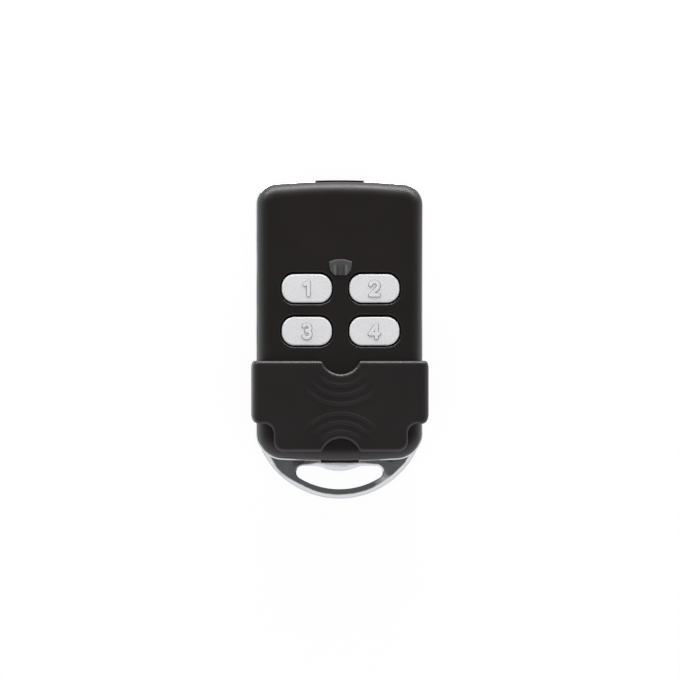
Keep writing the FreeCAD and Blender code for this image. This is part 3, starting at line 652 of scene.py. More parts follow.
def figure_patch(x, y, top, number, sizes):
    """The middle of a cap with its raised figure: its height over the cap falls from the
    figure's rise to nothing in an even S across the edge of the strokes."""
    half_x, half_y = FIGURE_PATCH
    across = np.linspace(-half_x, half_x, round(2 * half_x / FIGURE_STEP) + 1)
    along = np.linspace(-half_y, half_y, round(2 * half_y / FIGURE_STEP) + 1)
    grid_x, grid_y = np.meshgrid(across, along)
    scale = (sizes.numeral_height - sizes.numeral_weight) / 2
    flat = np.stack([grid_x.ravel(), grid_y.ravel()], 1)
    away = stroke_distance(flat, [scale * stroke for stroke in figure_strokes(number)])
    edge = sizes.numeral_weight / 2
    slope = FIGURE_SLOPE / 2
    rise = sizes.numeral_rise * (1 - smooth(away, edge - slope, edge + slope))
    points = np.stack([grid_x + x, grid_y + y, top + rise.reshape(grid_x.shape)], 2)
    ring = np.concatenate([points[0, :-1], points[:-1, -1], points[-1, :0:-1], points[:0:-1, 0]])
    return grid_patch(points, closed=False), ring[:, :2]


def button_mesh(number, sizes):
    """A button: a cap with a round edge and its figure, a flange behind it and a round pad."""
    low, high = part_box(f"button_{number}")
    x, y = (low.x + high.x) / 2, (low.y + high.y) / 2 - BUTTON_DROP
    foot, top = low.z, high.z
    flange_low = foot + PAD_HEIGHT
    flange_top = flange_low + FLANGE_HEIGHT
    cap = bar_path(x, y, *BUTTON_HALF, BUTTON_CORNER)
    sine, cosine = quarter(8)
    skin = carried(
        cap,
        [-FLANGE_GROW, -FLANGE_GROW, 0.0, 0.0, *(BUTTON_ROUNDING * (1 - cosine)),
         BUTTON_ROUNDING + SUPPORT],
        [flange_low, flange_top, flange_top, flange_top + SUPPORT,
         *(top - BUTTON_ROUNDING * (1 - sine)), top])
    pad = carried(arc_path((x, y), PAD_RADIUS, 0.0, PAD_TURN), [0.0, 0.0], [flange_low, foot])
    middle, ring = figure_patch(x, y, top, number, sizes)
    return make_mesh(f"button_{number}_skin", [
        grid_patch(skin), grid_patch(pad), middle,
        level_patch([skin[-1, :, :2], ring], top),
        level_patch([skin[0, :, :2], pad[0, :, :2]], flange_low),
        level_patch([pad[1, :, :2]], foot),
    ])


class GATEREMOTE_OT_buttons(bpy.types.Operator):
    """Makes the four silver buttons with their raised figures"""

    bl_idname = "gate_remote.buttons"
    bl_label = "Buttons"

    def execute(self, context):
        colours = context.scene.gate_remote_colours
        sizes = context.scene.gate_remote_sizes
        paint = new_material(
            "silver_pearl_paint", pearl_paint, base=tuple(colours.silver),
            cavity=tuple(colours.cavity), top=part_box("button_1")[1].z, rise=sizes.numeral_rise)
        for number in BUTTONS:
            make_piece(f"silver_button_{number}", button_mesh(number, sizes),
                       f"button_body_{number}", "button_silver",
                       paint, f"button_{number}")
        return {"FINISHED"}


# The smoked lens over the light

lens_low, lens_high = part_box("led_lens")
LENS_Y = middle_y("indicator_led")
LENS_TOP_HALF = 2.55 * MM
LENS_MID_HALF = 2.25 * MM
LENS_FOOT_HALF = 1.2 * MM
LENS_CROWN = 1.8 * MM
LENS_ARCH = 0.6 * MM
LENS_SHOULDER = 0.75 * MM
LENS_FOOT = 1.75 * MM
LENS_CORNER = 0.7 * MM
LENS_TOP_CORNER = 0.3 * MM
LENS_FLANGE = 0.45 * MM
LENS_FLANGE_HEIGHT = 0.6 * MM
LENS_SKIRT = 0.42 * MM
LENS_CEILING = lens_high.z - 0.85 * MM
LENS_EDGE_Z = lens_high.z + 0.05 * MM
LENS_BEVEL = 0.12 * MM
LENS_BEVEL_MORE = 0.18 * MM
LENS_BEVEL_DROP = 0.2 * MM
LENS_DOME = 0.03 * MM
LENS_DOME_REACH = 0.94
LENS_ARCH_WAYS = (0.3, 0.9)
LENS_STEP = 0.3 * MM


def lens_path():
    """The lens's shield outline: a shallow arch above, sides that lean in, a narrow foot."""
    corner_y = LENS_Y + LENS_CROWN - LENS_ARCH
    radius = (LENS_TOP_HALF ** 2 + LENS_ARCH ** 2) / (2 * LENS_ARCH)
    arch = np.array([0.0, LENS_Y + LENS_CROWN - radius])
    foot = np.array([LENS_FOOT_HALF, LENS_Y - LENS_FOOT])
    low = np.array([LENS_MID_HALF, LENS_Y - LENS_SHOULDER])
    high = np.array([LENS_TOP_HALF, corner_y])
    way, inward = side_ways(low, high)
    corner = corner_in_arch(low, way, inward, arch, radius, LENS_TOP_CORNER, 1)
    meet = angle_of(corner - arch)
    return mirrored_path([
        corner_path((0.0, foot[1]), foot, low, LENS_CORNER),
        corner_path(foot, low, high, LENS_CORNER),
        arc_path(corner, LENS_TOP_CORNER, angle_of(-inward), meet),
        arc_path(arch, radius, meet, RIGHT_ANGLE),
    ])


def lens_mesh():
    """The lens: its upper edge has a flat bevel that is widest along the arch, and inside it
    the face swells by a parabola of the share of the way to its middle. A flange lies behind,
    and the back is hollow up to a ceiling."""
    path = dense_path(lens_path(), LENS_STEP)
    points, ways = path
    bevel = LENS_BEVEL + LENS_BEVEL_MORE * smooth(ways[:, 1], *LENS_ARCH_WAYS)
    out = np.linspace(0.0, 1.0, 4)[1:]
    flange_top = lens_low.z + LENS_FLANGE_HEIGHT
    flange = -LENS_FLANGE * smooth(points[:, 1], LENS_Y - 0.1 * MM, LENS_Y + 0.3 * MM)
    insets = np.concatenate([[flange, flange], np.zeros((2, len(points))), np.outer(out, bevel)])
    heights = np.array([lens_low.z, flange_top, flange_top, LENS_EDGE_Z - LENS_BEVEL_DROP,
                        *(LENS_EDGE_Z - LENS_BEVEL_DROP * (1 - out))])
    wall = carried(path, insets, heights)
    rim = wall[-1, :, :2]
    middle = np.array([0.0, LENS_Y])
    share = np.linspace(0.0, LENS_DOME_REACH, 12)[:, None, None]
    flat = rim + (middle - rim) * share
    height = np.broadcast_to(LENS_EDGE_Z + LENS_DOME * (1 - (1 - share) ** 2), (*flat.shape[:2], 1))
    dome = np.concatenate([flat, height], 2)
    pocket = carried(path, [LENS_SKIRT, LENS_SKIRT], [lens_low.z, LENS_CEILING])
    return make_mesh("led_lens_skin", [
        grid_patch(wall), grid_patch(dome), grid_patch(pocket),
        level_patch([dome[-1, :, :2]], float(height[-1, 0, 0])),
        level_patch([wall[0, :, :2], pocket[0, :, :2]], lens_low.z),
        level_patch([pocket[1, :, :2]], LENS_CEILING),
    ])


POST_HALF = (0.33 * MM, 0.85 * MM)
POST_APART = 2.25 * MM
POST_LOW_Z = LENS_CEILING - 1.6 * MM
POST_CORNER = 0.15 * MM
POST_CHAMFER = 0.08 * MM


def posts_mesh():
    """Two pale posts of the light guide that hang from the lens's ceiling."""
    patches = []
    for side in (-1, 1):
        path = bar_path(side * POST_APART / 2, LENS_Y - 0.1 * MM, *POST_HALF, POST_CORNER)
        wall = carried(path, [0.0, 0.0, POST_CHAMFER],
                       [POST_LOW_Z, LENS_CEILING - POST_CHAMFER, LENS_CEILING])
        patches += [grid_patch(wall), level_patch([wall[-1, :, :2]], LENS_CEILING),
                    level_patch([wall[0, :, :2]], POST_LOW_Z)]
    return make_mesh("light_guide_posts_skin", patches)


class GATEREMOTE_OT_lens(bpy.types.Operator):
    """Makes the smoked lens and the posts of its light guide"""

    bl_idname = "gate_remote.lens"
    bl_label = "Lens and light"

    def execute(self, context):
        smoke = new_material("smoked_acrylic_lens", smoked_acrylic,
                             base=tuple(context.scene.gate_remote_colours.smoke))
        make_piece("smoked_lens", lens_mesh(), "case", "lens_smoke", smoke, "led_lens")
        frosted = new_material("frosted_acrylic_posts", frosted_acrylic)
        make_piece("light_guide_posts", posts_mesh(), "case", "led_clear", frosted)
        return {"FINISHED"}


# The sliding cover

cover_low, cover_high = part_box("slide_cover")
COVER_HALF = cover_high.x
RIDGE_HEIGHT = 0.12 * MM
COVER_Z = cover_high.z - 0.15 * MM
PANEL = 1.2 * MM
SIDE_WALL = 0.8 * MM
SIDE_ROUNDING = 1.6 * MM
LIP = 0.9 * MM
LIP_REACH = 1.3 * MM
LIP_ROUNDING = 0.4 * MM
COVER_EDGE = 0.72 * MM
COVER_EDGE_WIDTH = 0.85 * MM
COVER_TOP_Y = cover_high.y
TONGUE_Y = cover_low.y
EAR_Y = COVER_TOP_Y - 13.42 * MM
TONGUE_HALF = CASE_HALF_LOW - 3.05 * MM
TONGUE_RADIUS = 2.2 * MM
SHOULDER_RADIUS = 2.0 * MM
EAR_TOP_RADIUS = 0.8 * MM
EAR_LOW_RADIUS = 1.6 * MM
NOTCH_RADIUS = 4.25 * MM
NOTCH_FILLET = 0.7 * MM
TOP_NOTCH_Y = COVER_TOP_Y + 1.45 * MM
LOW_NOTCH_Y = TONGUE_Y - 1.5 * MM
EAR_FADE = 5.0 * MM
EAR_TIP_RADIUS = 0.5 * MM
COVER_THICK = 2.0 * MM
COVER_LAND = (0.74 * MM, 0.77 * MM)
COVER_CHAMFER = 0.08 * MM
FAN_CLEAR = 0.4 * MM
FILL_CLEAR = 0.12 * MM
RIDGE_WIDTH = 0.58 * MM
RIDGE_COUNT = 3
RIDGE_FULL = 0.55
FAN_REACH = 1.03
FAN_WIDTH = 1.15
COVER_EDGE_STEP = 0.25 * MM
OUTER_STEP = 0.9 * MM
INNER_STEP = 1.4 * MM
RIDGES = (
    (TOP_NOTCH_Y, -1, 6.65 * MM, 2.0 * MM, math.radians(55.0)),
    (LOW_NOTCH_Y, 1, 5.75 * MM, 1.94 * MM, math.radians(63.0)),
)

BEND_X = COVER_HALF - SIDE_ROUNDING
BEND_Z = COVER_Z - SIDE_ROUNDING
LIP_LOW_Z = cover_low.z
LIP_TOP_Z = LIP_LOW_Z + LIP
INNER_X = COVER_HALF - SIDE_WALL
LIP_END_X = INNER_X - LIP_REACH
BEND_END = BEND_X + SIDE_ROUNDING * RIGHT_ANGLE
WALL_END = BEND_END + BEND_Z - (LIP_LOW_Z + LIP_ROUNDING)
LIP_START = WALL_END + LIP_ROUNDING * RIGHT_ANGLE
SHEET_END = LIP_START + COVER_HALF - LIP_ROUNDING - LIP_END_X


def section_tables():
    """The cover's section as tables over the distance along its outer skin from the middle:
    the outer skin's x and z, and the inner skin's. Panel, bend, wall, lip corner, lip."""
    turn = np.linspace(0.0, RIGHT_ANGLE, 31)
    inner = SIDE_ROUNDING - SIDE_WALL
    lip_x = COVER_HALF - LIP_ROUNDING
    lip_z = LIP_LOW_Z + LIP_ROUNDING
    along = np.concatenate([
        [0.0], BEND_X + SIDE_ROUNDING * turn, WALL_END + LIP_ROUNDING * turn, [SHEET_END]])
    outer_x = np.concatenate([
        [0.0], BEND_X + SIDE_ROUNDING * np.sin(turn), lip_x + LIP_ROUNDING * np.cos(turn),
        [LIP_END_X]])
    outer_z = np.concatenate([
        [COVER_Z], BEND_Z + SIDE_ROUNDING * np.cos(turn), lip_z - LIP_ROUNDING * np.sin(turn),
        [LIP_LOW_Z]])
    inner_top = COVER_Z - PANEL
    inner_x = np.concatenate([
        [0.0], BEND_X + inner * np.sin(turn), np.full(len(turn), INNER_X), [LIP_END_X]])
    inner_z = np.concatenate([
        [inner_top], inner_top - inner + inner * np.cos(turn), np.full(len(turn) + 1, LIP_TOP_Z)])
    return along, outer_x, outer_z, inner_x, inner_z


def on_cover(sheet, depth, rise=0.0):
    """Places points of the flat sheet (distance from the middle, y) on the cover, a depth
    under its outer skin. The ears' corners are rounded as seen from the front: points near an
    ear's end move in by radius - sqrt(radius^2 - (x - centre)^2)."""
    along, outer_x, outer_z, inner_x, inner_z = section_tables()
    distance = np.abs(sheet[..., 0])
    side = np.where(sheet[..., 0] < 0, -1.0, 1.0)
    ox, oz = np.interp(distance, along, outer_x), np.interp(distance, along, outer_z)
    ix, iz = np.interp(distance, along, inner_x), np.interp(distance, along, inner_z)
    share = np.clip(depth / np.hypot(ix - ox, iz - oz), 0.0, 1.0)
    x = ox + (ix - ox) * share
    z = oz + (iz - oz) * share + rise
    y = sheet[..., 1]
    for radius, end, sign in ((EAR_LOW_RADIUS, EAR_Y, 1), (EAR_TOP_RADIUS, COVER_TOP_Y, -1)):
        lean = np.clip(x - (COVER_HALF - radius), 0.0, radius)
        move = radius - np.sqrt(radius ** 2 - lean ** 2)
        y = y + sign * move * np.clip(1 - sign * (sheet[..., 1] - end) / EAR_FADE, 0.0, 1.0)
    return np.stack([side * x, y, z], -1)


def cover_path():
    """The cover's flat sheet: a tongue with a thumb notch below, two ears at the sides, and a
    notch in its upper edge."""
    reach = NOTCH_RADIUS + NOTCH_FILLET
    low_rise = TONGUE_Y + NOTCH_FILLET - LOW_NOTCH_Y
    low_x = math.sqrt(reach ** 2 - low_rise ** 2)
    low_turn = math.atan2(low_rise, low_x)
    top_rise = COVER_TOP_Y - NOTCH_FILLET - TOP_NOTCH_Y
    top_x = math.sqrt(reach ** 2 - top_rise ** 2)
    top_turn = math.atan2(top_rise, top_x)
    tongue = (TONGUE_HALF, TONGUE_Y)
    shoulder = (TONGUE_HALF, EAR_Y)
    ear_low = (SHEET_END, EAR_Y)
    ear_top = (SHEET_END, COVER_TOP_Y)
    return mirrored_path([
        arc_path((0.0, LOW_NOTCH_Y), NOTCH_RADIUS, RIGHT_ANGLE, low_turn, -1),
        arc_path((low_x, TONGUE_Y + NOTCH_FILLET), NOTCH_FILLET, low_turn - math.pi, -RIGHT_ANGLE),
        corner_path((low_x, TONGUE_Y), tongue, shoulder, TONGUE_RADIUS),
        corner_path(tongue, shoulder, ear_low, SHOULDER_RADIUS),
        corner_path(shoulder, ear_low, ear_top, EAR_TIP_RADIUS),
        corner_path(ear_low, ear_top, (0.0, COVER_TOP_Y), EAR_TIP_RADIUS),
        arc_path((top_x, COVER_TOP_Y - NOTCH_FILLET), NOTCH_FILLET, RIGHT_ANGLE,
                 top_turn + math.pi),
        arc_path((0.0, TOP_NOTCH_Y), NOTCH_RADIUS, top_turn, -RIGHT_ANGLE, -1),
    ])


def ridge_rise(points):
    """How far the grip ridges stand up at points of the flat sheet: each ridge is an arc about
    a notch's centre, with a section of cosine squared, and fades out towards its ends."""
    rise = np.zeros(points.shape[:-1])
    for centre_y, sign, first, pitch, reach in RIDGES:
        dx = points[..., 0]
        dy = sign * (points[..., 1] - centre_y)
        radius = np.hypot(dx, dy)
        turn = np.abs(np.arctan2(dx, dy))
        fade = 1 - smooth(turn, RIDGE_FULL * reach, reach)
        for index in range(RIDGE_COUNT):
            off = np.abs(radius - first - index * pitch) / RIDGE_WIDTH
            rise = np.maximum(rise, fade * np.cos(RIGHT_ANGLE * np.clip(off, 0, 1)) ** 2)
    return RIDGE_HEIGHT * rise


def sheet_points(step):
    """A grid over the flat sheet, with narrow columns where it bends, and a fan of points over
    each ridge."""
    panel = np.arange(0.0, BEND_X - step / 2, step)
    bend = np.linspace(BEND_X, BEND_END, 11)
    wall = np.linspace(BEND_END, WALL_END, 9)[1:-1]
    lip = np.linspace(WALL_END, LIP_START, 6)
    rest = np.linspace(LIP_START, SHEET_END, 4)[1:-1]
    half = np.concatenate([panel, bend, wall, lip, rest])
    columns = np.concatenate([-half[:0:-1], half])
    rows = np.arange(TONGUE_Y, COVER_TOP_Y, step)
    x, y = np.meshgrid(columns, rows)
    grid = np.stack([x.ravel(), y.ravel()], 1)
    offsets = np.linspace(-FAN_WIDTH, FAN_WIDTH, 13) * RIDGE_WIDTH
    fans = []
    for centre_y, sign, first, pitch, reach in RIDGES:
        turn = np.linspace(-reach, reach, 55) * FAN_REACH
        for index in range(RIDGE_COUNT):
            radius = (first + index * pitch + offsets)[:, None]
            fans.append(np.stack([radius * np.sin(turn),
                                  centre_y + sign * radius * np.cos(turn)], 2).reshape(-1, 2))
    fan = np.concatenate(fans)
    return fan, grid[nearest(grid, fan) > FAN_CLEAR]


def cover_mesh():
    """The cover: its sheet's edge is a quarter ellipse outside, a wall and a small inner chamfer,
    carried along the outline, and its two skins are filled inside that."""
    path = dense_path(cover_path(), COVER_EDGE_STEP)
    sine, cosine = quarter(8)
    insets = np.array([
        COVER_EDGE_WIDTH + SUPPORT, *(COVER_EDGE_WIDTH * (1 - sine)), 0.0, 0.0, COVER_CHAMFER,
        COVER_CHAMFER + SUPPORT])
    sheet = path[0] - insets[:, None, None] * path[1]
    depth = np.array([0.0, *(COVER_EDGE * (1 - cosine)), *COVER_LAND, COVER_THICK, COVER_THICK])
    edge = on_cover(sheet, depth[:, None])
    fan, grid = sheet_points(OUTER_STEP)
    outer, outer_faces = filled([sheet[0]], np.concatenate([fan, grid]), FILL_CLEAR)
    inner, inner_faces = filled([sheet[-1]], sheet_points(INNER_STEP)[1], FILL_CLEAR)
    return make_mesh("slide_cover_skin", [
        grid_patch(edge),
        (on_cover(outer, np.zeros(len(outer)), ridge_rise(outer)), outer_faces),
        (on_cover(inner, np.full(len(inner), COVER_THICK)), inner_faces),
    ])


class GATEREMOTE_OT_cover(bpy.types.Operator):
    """Makes the sliding cover with its ears, lips, notches and grip ridges"""

    bl_idname = "gate_remote.cover"
    bl_label = "Sliding cover"

    def execute(self, context):
        black = new_material(
            "moulded_abs_cover", moulded_plastic, roughness=0.42, grain=SPARKED_GRAIN,
            base=tuple(context.scene.gate_remote_colours.cover))
        make_piece("sliding_cover", cover_mesh(), "cover", "cover_black", black, "slide_cover")
        return {"FINISHED"}


# Materials: each finish adds its nodes to a tree and returns its shader, with patterns sized from
# the real ones in millimetres

SPARKED_GRAIN = 0.12 * MM
CLOUDS = 6.0 * MM
GLOSS_CHANGE = 0.03
ACRYLIC_IOR = 1.49
# Greys of the lens's painted view of the parts under it: paler bars for the lit posts, darker bands
# for the shaded hollow, lighter sides and an even grey above the posts.
LENS_BARS = ((0.14, 0.3), (0.3, 0.22), (0.42, 0.68), (0.54, 0.68), (0.64, 0.4), (0.9, 0.4))
LENS_MIDDLE = (0.36, 0.36, 0.36, 1.0)
LENS_SIDE = (0.6, 0.6, 0.6, 1.0)
LENS_UPPER = (0.4, 0.4, 0.4, 1.0)


def add_node(tree, kind, inputs=None, **settings):
    """Adds one node with its settings; inputs gives each socket a value or another socket."""
    made = tree.nodes.new(kind)
    for name, value in settings.items():
        setattr(made, name, value)
    for name, value in (inputs or {}).items():
        if isinstance(value, bpy.types.NodeSocket):
            tree.links.new(value, made.inputs[name])
        else:
            made.inputs[name].default_value = value
    return made


def new_material(name, finish, **values):
    """A material whose empty tree gets the nodes of a finish, made with these values."""
    material = bpy.data.materials.new(name)
    material.use_nodes = True
    tree = material.node_tree
    tree.nodes.clear()
    add_node(tree, "ShaderNodeOutputMaterial", {"Surface": finish(tree, **values)})
    return material


def uneven(tree, size, low, high, detail=2.0):
    """A level that wanders from low to high over the object: the middle range of a noise whose
    spots are about size metres across, stretched."""
    place = add_node(tree, "ShaderNodeTexCoord").outputs["Object"]
    spots = add_node(tree, "ShaderNodeTexNoise", {
        "Vector": place, "Scale": 0.5 / size, "Detail": detail, "Roughness": 0.55})
    return add_node(tree, "ShaderNodeMapRange", {
        "Value": spots.outputs["Fac"], "From Min": 0.3, "From Max": 0.7,
        "To Min": low, "To Max": high}).outputs["Result"]


def uneven_colour(tree, base, size, low, high):
    """A base colour made darker and lighter from place to place, by a level from low to high."""
    level = uneven(tree, size, low, high)
    return add_node(tree, "ShaderNodeVectorMath", {0: tuple(base[:3]), 1: level},
                    operation="MULTIPLY").outputs[0]


def grained(tree, size, depth, strength, detail=2.0, **under):
    """The way out of a surface in relief: a noise whose spots are about size metres across and
    depth metres high, on top of the relief under it if any."""
    place = add_node(tree, "ShaderNodeTexCoord").outputs["Object"]
    spots = add_node(tree, "ShaderNodeTexNoise", {
        "Vector": place, "Scale": 0.5 / size, "Detail": detail, "Roughness": 0.55})
    return add_node(tree, "ShaderNodeBump", {
        "Height": spots.outputs["Fac"], "Distance": depth, "Strength": strength,
        **under}).outputs["Normal"]


def place_along(tree, axis, mirrored=False):
    """The place along an axis of the object, without its sign where mirrored."""
    place = add_node(tree, "ShaderNodeTexCoord").outputs["Object"]
    value = add_node(tree, "ShaderNodeSeparateXYZ", {0: place}).outputs[axis]
    if mirrored:
        value = add_node(tree, "ShaderNodeMath", {0: value}, operation="ABSOLUTE").outputs[0]
    return value


def fading(tree, axis, places, levels, mirrored=False):
    """A level that goes evenly from the first to the second between two places along an axis."""
    return add_node(tree, "ShaderNodeMapRange", {
        "Value": place_along(tree, axis, mirrored), "From Min": places[0], "From Max": places[1],
        "To Min": levels[0], "To Max": levels[1]}).outputs["Result"]


def beyond(tree, axis, centre, half, mirrored=False):
    """1 where the place along an axis is more than half from the centre, else 0."""
    off = place_along(tree, axis, mirrored)
    for operation, value in (("SUBTRACT", centre), ("ABSOLUTE", 0.0), ("GREATER_THAN", half)):
        off = add_node(tree, "ShaderNodeMath", {0: off, 1: value}, operation=operation).outputs[0]
    return off


def moulded_plastic(tree, base, roughness, grain):
    """ABS, nylon or epoxy out of a spark-eroded mould: its fine grain gives a soft sheen, with no
    sharp reflections, and its gloss and colour change a little from place to place."""
    return add_node(tree, "ShaderNodeBsdfPrincipled", {
        "Base Color": uneven_colour(tree, base, CLOUDS, 0.94, 1.06),
        "Roughness": uneven(tree, CLOUDS, roughness - GLOSS_CHANGE, roughness + GLOSS_CHANGE),
        "IOR": 1.53, "Normal": grained(tree, grain, 0.02 * MM, 0.12)}).outputs[0]


def plated_metal(tree, base, roughness, grain, strength):
    """Bare or plated metal: a clear reflection, broken by a slight unevenness."""
    return add_node(tree, "ShaderNodeBsdfPrincipled", {
        "Base Color": base, "Metallic": 1.0,
        "Roughness": uneven(tree, grain, roughness * 0.85, roughness * 1.15, 1.0),
        "Normal": grained(tree, grain, 0.02 * MM, strength, 1.0)}).outputs[0]


def bright_chrome(tree, base):
    """Chrome plate on moulded plastic: mirror bright, while sink marks of about 3.5 mm, deepest
    in the thick arms of the key loop, and the polisher's spots of about 0.7 mm break its flat
    faces into brighter and darker patches."""
    sinks, spots = 3.5 * MM, 0.7 * MM
    arms = fading(tree, 0, (5.0 * MM, 8.0 * MM), (0.0, 1.0), mirrored=True)
    loop = fading(tree, 1, (CASE_LOW_Y - MM, CASE_LOW_Y), (1.0, 0.4))
    sunk = add_node(tree, "ShaderNodeMath", {0: arms, 1: loop}, operation="MULTIPLY").outputs[0]
    waves = grained(tree, sinks, 2.6 * MM, sunk, 0.0)
    return add_node(tree, "ShaderNodeBsdfPrincipled", {
        "Base Color": base, "Metallic": 1.0, "Roughness": uneven(tree, spots, 0.12, 0.18, 1.0),
        "Normal": grained(tree, spots, 0.07 * MM, 1.0, 1.0, Normal=waves)}).outputs[0]


def pearl_paint(tree, base, cavity, top, rise):
    """Silver pearl paint on black plastic: flakes of about 0.2 mm (real ones are finer, and
    drawn coarser to show) glint one by one, under a clear satin lacquer. The steep sides of a
    figure and the cap's round edge are painted grey, as painted shade, and the cap's wall more
    than 0.6 mm under its top is painted nearly black, as painted shade of the gap round the cap."""
    flakes, clouds, edge = 0.2 * MM, 2.5 * MM, 0.18 * MM
    # Painted shade on the figures: their steep sides, between the cap and the figure's top, are
    # painted darker, down to a fifth of the silver at mid-slope.
    climb = fading(tree, 2, (top, top + rise), (0.0, 2.0))
    side = add_node(tree, "ShaderNodeMath", {0: climb, 1: 1.0}, operation="PINGPONG").outputs[0]
    tone = add_node(tree, "ShaderNodeMapRange", {
        "Value": side, "From Max": 0.6, "To Min": 1.0, "To Max": 0.2}).outputs["Result"]
    # Painted shade on the cap's round edge: its last 0.18 mm under the top is painted darker, down
    # to 0.4 of the silver; the other two levels are the paint's flakes and clouds.
    for level in (fading(tree, 2, (top - edge, top), (0.4, 1.0)),
                  uneven(tree, flakes, 0.93, 1.05, 1.0), uneven(tree, clouds, 0.97, 1.03)):
        tone = add_node(tree, "ShaderNodeMath", {0: tone, 1: level},
                        operation="MULTIPLY").outputs[0]
    silver = add_node(tree, "ShaderNodeVectorMath", {0: base[:3], 1: tone}, operation="MULTIPLY")
    paint = add_node(tree, "ShaderNodeBsdfPrincipled", {
        "Base Color": silver.outputs[0], "Roughness": 0.42,
        "Normal": grained(tree, flakes, 0.01 * MM, 0.2, 1.0)})
    # Painted shade of the gap round the cap: more than 0.6 mm under the top, the button is painted
    # as nearly black plastic instead of silver.
    below = add_node(tree, "ShaderNodeMath", {0: place_along(tree, 2), 1: top - PAINTED_GAP_DEPTH},
                     operation="LESS_THAN")
    return add_node(tree, "ShaderNodeMixShader", {
        0: below.outputs[0], 1: paint.outputs[0],
        2: moulded_plastic(tree, cavity, 0.5, 0.15 * MM)}).outputs[0]


def smoked_acrylic(tree, base):
    """Smoked acrylic: a grey, half clear plastic with a polished face. Its colour holds a painted
    view of what lies under it: the posts of the light guide painted as two paler bars, as if lit,
    and the hollow between them painted dark, as painted shade; it is lighter at its sides and an
    even grey above the posts."""
    bars = add_node(tree, "ShaderNodeValToRGB", {
        "Fac": fading(tree, 0, (0.0, LENS_TOP_HALF), (0.0, 1.0), mirrored=True)})
    stops = bars.color_ramp.elements
    for position, grey in LENS_BARS:
        stops.new(position).color = (grey, grey, grey, 1.0)
    stops[0].color = LENS_MIDDLE
    stops[-1].color = LENS_SIDE
    upper = fading(tree, 1, (LENS_Y + 0.1 * MM, LENS_Y + 0.9 * MM), (0.0, 1.0))
    tone = add_node(tree, "ShaderNodeMix", {0: upper, 6: bars.outputs["Color"], 7: LENS_UPPER},
                    data_type="RGBA")
    smoke = add_node(tree, "ShaderNodeVectorMath", {
        0: tuple(2 * part for part in base[:3]), 1: tone.outputs[2]}, operation="MULTIPLY")
    return add_node(tree, "ShaderNodeBsdfPrincipled", {
        "Base Color": smoke.outputs[0], "Roughness": 0.12, "IOR": ACRYLIC_IOR,
        "Transmission Weight": 0.45,
        "Normal": grained(tree, 1.2 * MM, 0.02 * MM, 0.15, 1.0)}).outputs[0]


def frosted_acrylic(tree):
    """Frosted clear acrylic: milky, and lighter than what lies round it."""
    frost = 0.15 * MM
    return add_node(tree, "ShaderNodeBsdfPrincipled", {
        "Base Color": uneven_colour(tree, linear("#e4e8e6"), frost, 0.9, 1.0),
        "Roughness": 0.5, "IOR": ACRYLIC_IOR, "Transmission Weight": 0.2,
        "Normal": grained(tree, frost, 0.01 * MM, 0.3)}).outputs[0]


def clear_epoxy(tree):
    """Cast clear epoxy of a small light, faintly yellow, with a polished dome."""
    return add_node(tree, "ShaderNodeBsdfPrincipled", {
        "Base Color": uneven_colour(tree, linear("#e9e6d6"), 0.8 * MM, 0.96, 1.0),
        "Roughness": 0.08, "IOR": 1.54, "Transmission Weight": 0.85}).outputs[0]


def board_laminate(tree, low, high):
    """Glass-epoxy board: green solder mask over copper tracks of about 0.5 mm that run across
    and along it, and bare yellowish laminate at its cut edges."""
    skin = 0.03 * MM
    place = add_node(tree, "ShaderNodeTexCoord").outputs["Object"]
    tracks = add_node(tree, "ShaderNodeTexBrick", {
        "Vector": place, "Scale": 1.0 / MM, "Mortar Size": 0.25, "Mortar Smooth": 0.2,
        "Brick Width": 5.2, "Row Height": 1.9}).outputs["Fac"]
    green = add_node(tree, "ShaderNodeMix", {
        0: tracks, 6: linear("#17552f"), 7: linear("#2a7a45")}, data_type="RGBA")
    bump = add_node(tree, "ShaderNodeBump", {
        "Height": tracks, "Distance": 0.04 * MM, "Strength": 0.6})
    mask = add_node(tree, "ShaderNodeBsdfPrincipled", {
        "Base Color": green.outputs[2], "Roughness": 0.28, "IOR": 1.55,
        "Normal": bump.outputs["Normal"]})
    edge = add_node(tree, "ShaderNodeBsdfPrincipled", {
        "Base Color": uneven_colour(tree, linear("#b9ad7a"), 0.1 * MM, 0.85, 1.1),
        "Roughness": 0.7, "IOR": 1.55})
    faces = beyond(tree, 2, (low + high) / 2, (high - low) / 2 - skin)
    return add_node(tree, "ShaderNodeMixShader", {
        0: faces, 1: edge.outputs[0], 2: mask.outputs[0]}).outputs[0]


# Tin on a copper lead: a dull white metal, dipped, with soft pools
tin = partial(plated_metal, base=linear("#c9cac6"), roughness=0.32, grain=0.4 * MM, strength=0.3)
# Nickel plate on a spring strip: a warm grey metal, smooth from the roller
nickel = partial(
    plated_metal, base=linear("#bdb8ad"), roughness=0.24, grain=0.5 * MM, strength=0.15)
# Zinc plate on a steel screw: a cool, cloudy metal
zinc = partial(
    plated_metal, base=linear("#b4b9bf"), roughness=0.38, grain=0.5 * MM, strength=0.35)


def two_finishes(tree, body, ends, share):
    """A moulded or glazed body, with plated ends or leads where share is 1."""
    base, roughness, grain = body
    return add_node(tree, "ShaderNodeMixShader", {
        0: beyond(tree, **share), 1: moulded_plastic(tree, linear(base), roughness, grain),
        2: ends(tree)}).outputs[0]


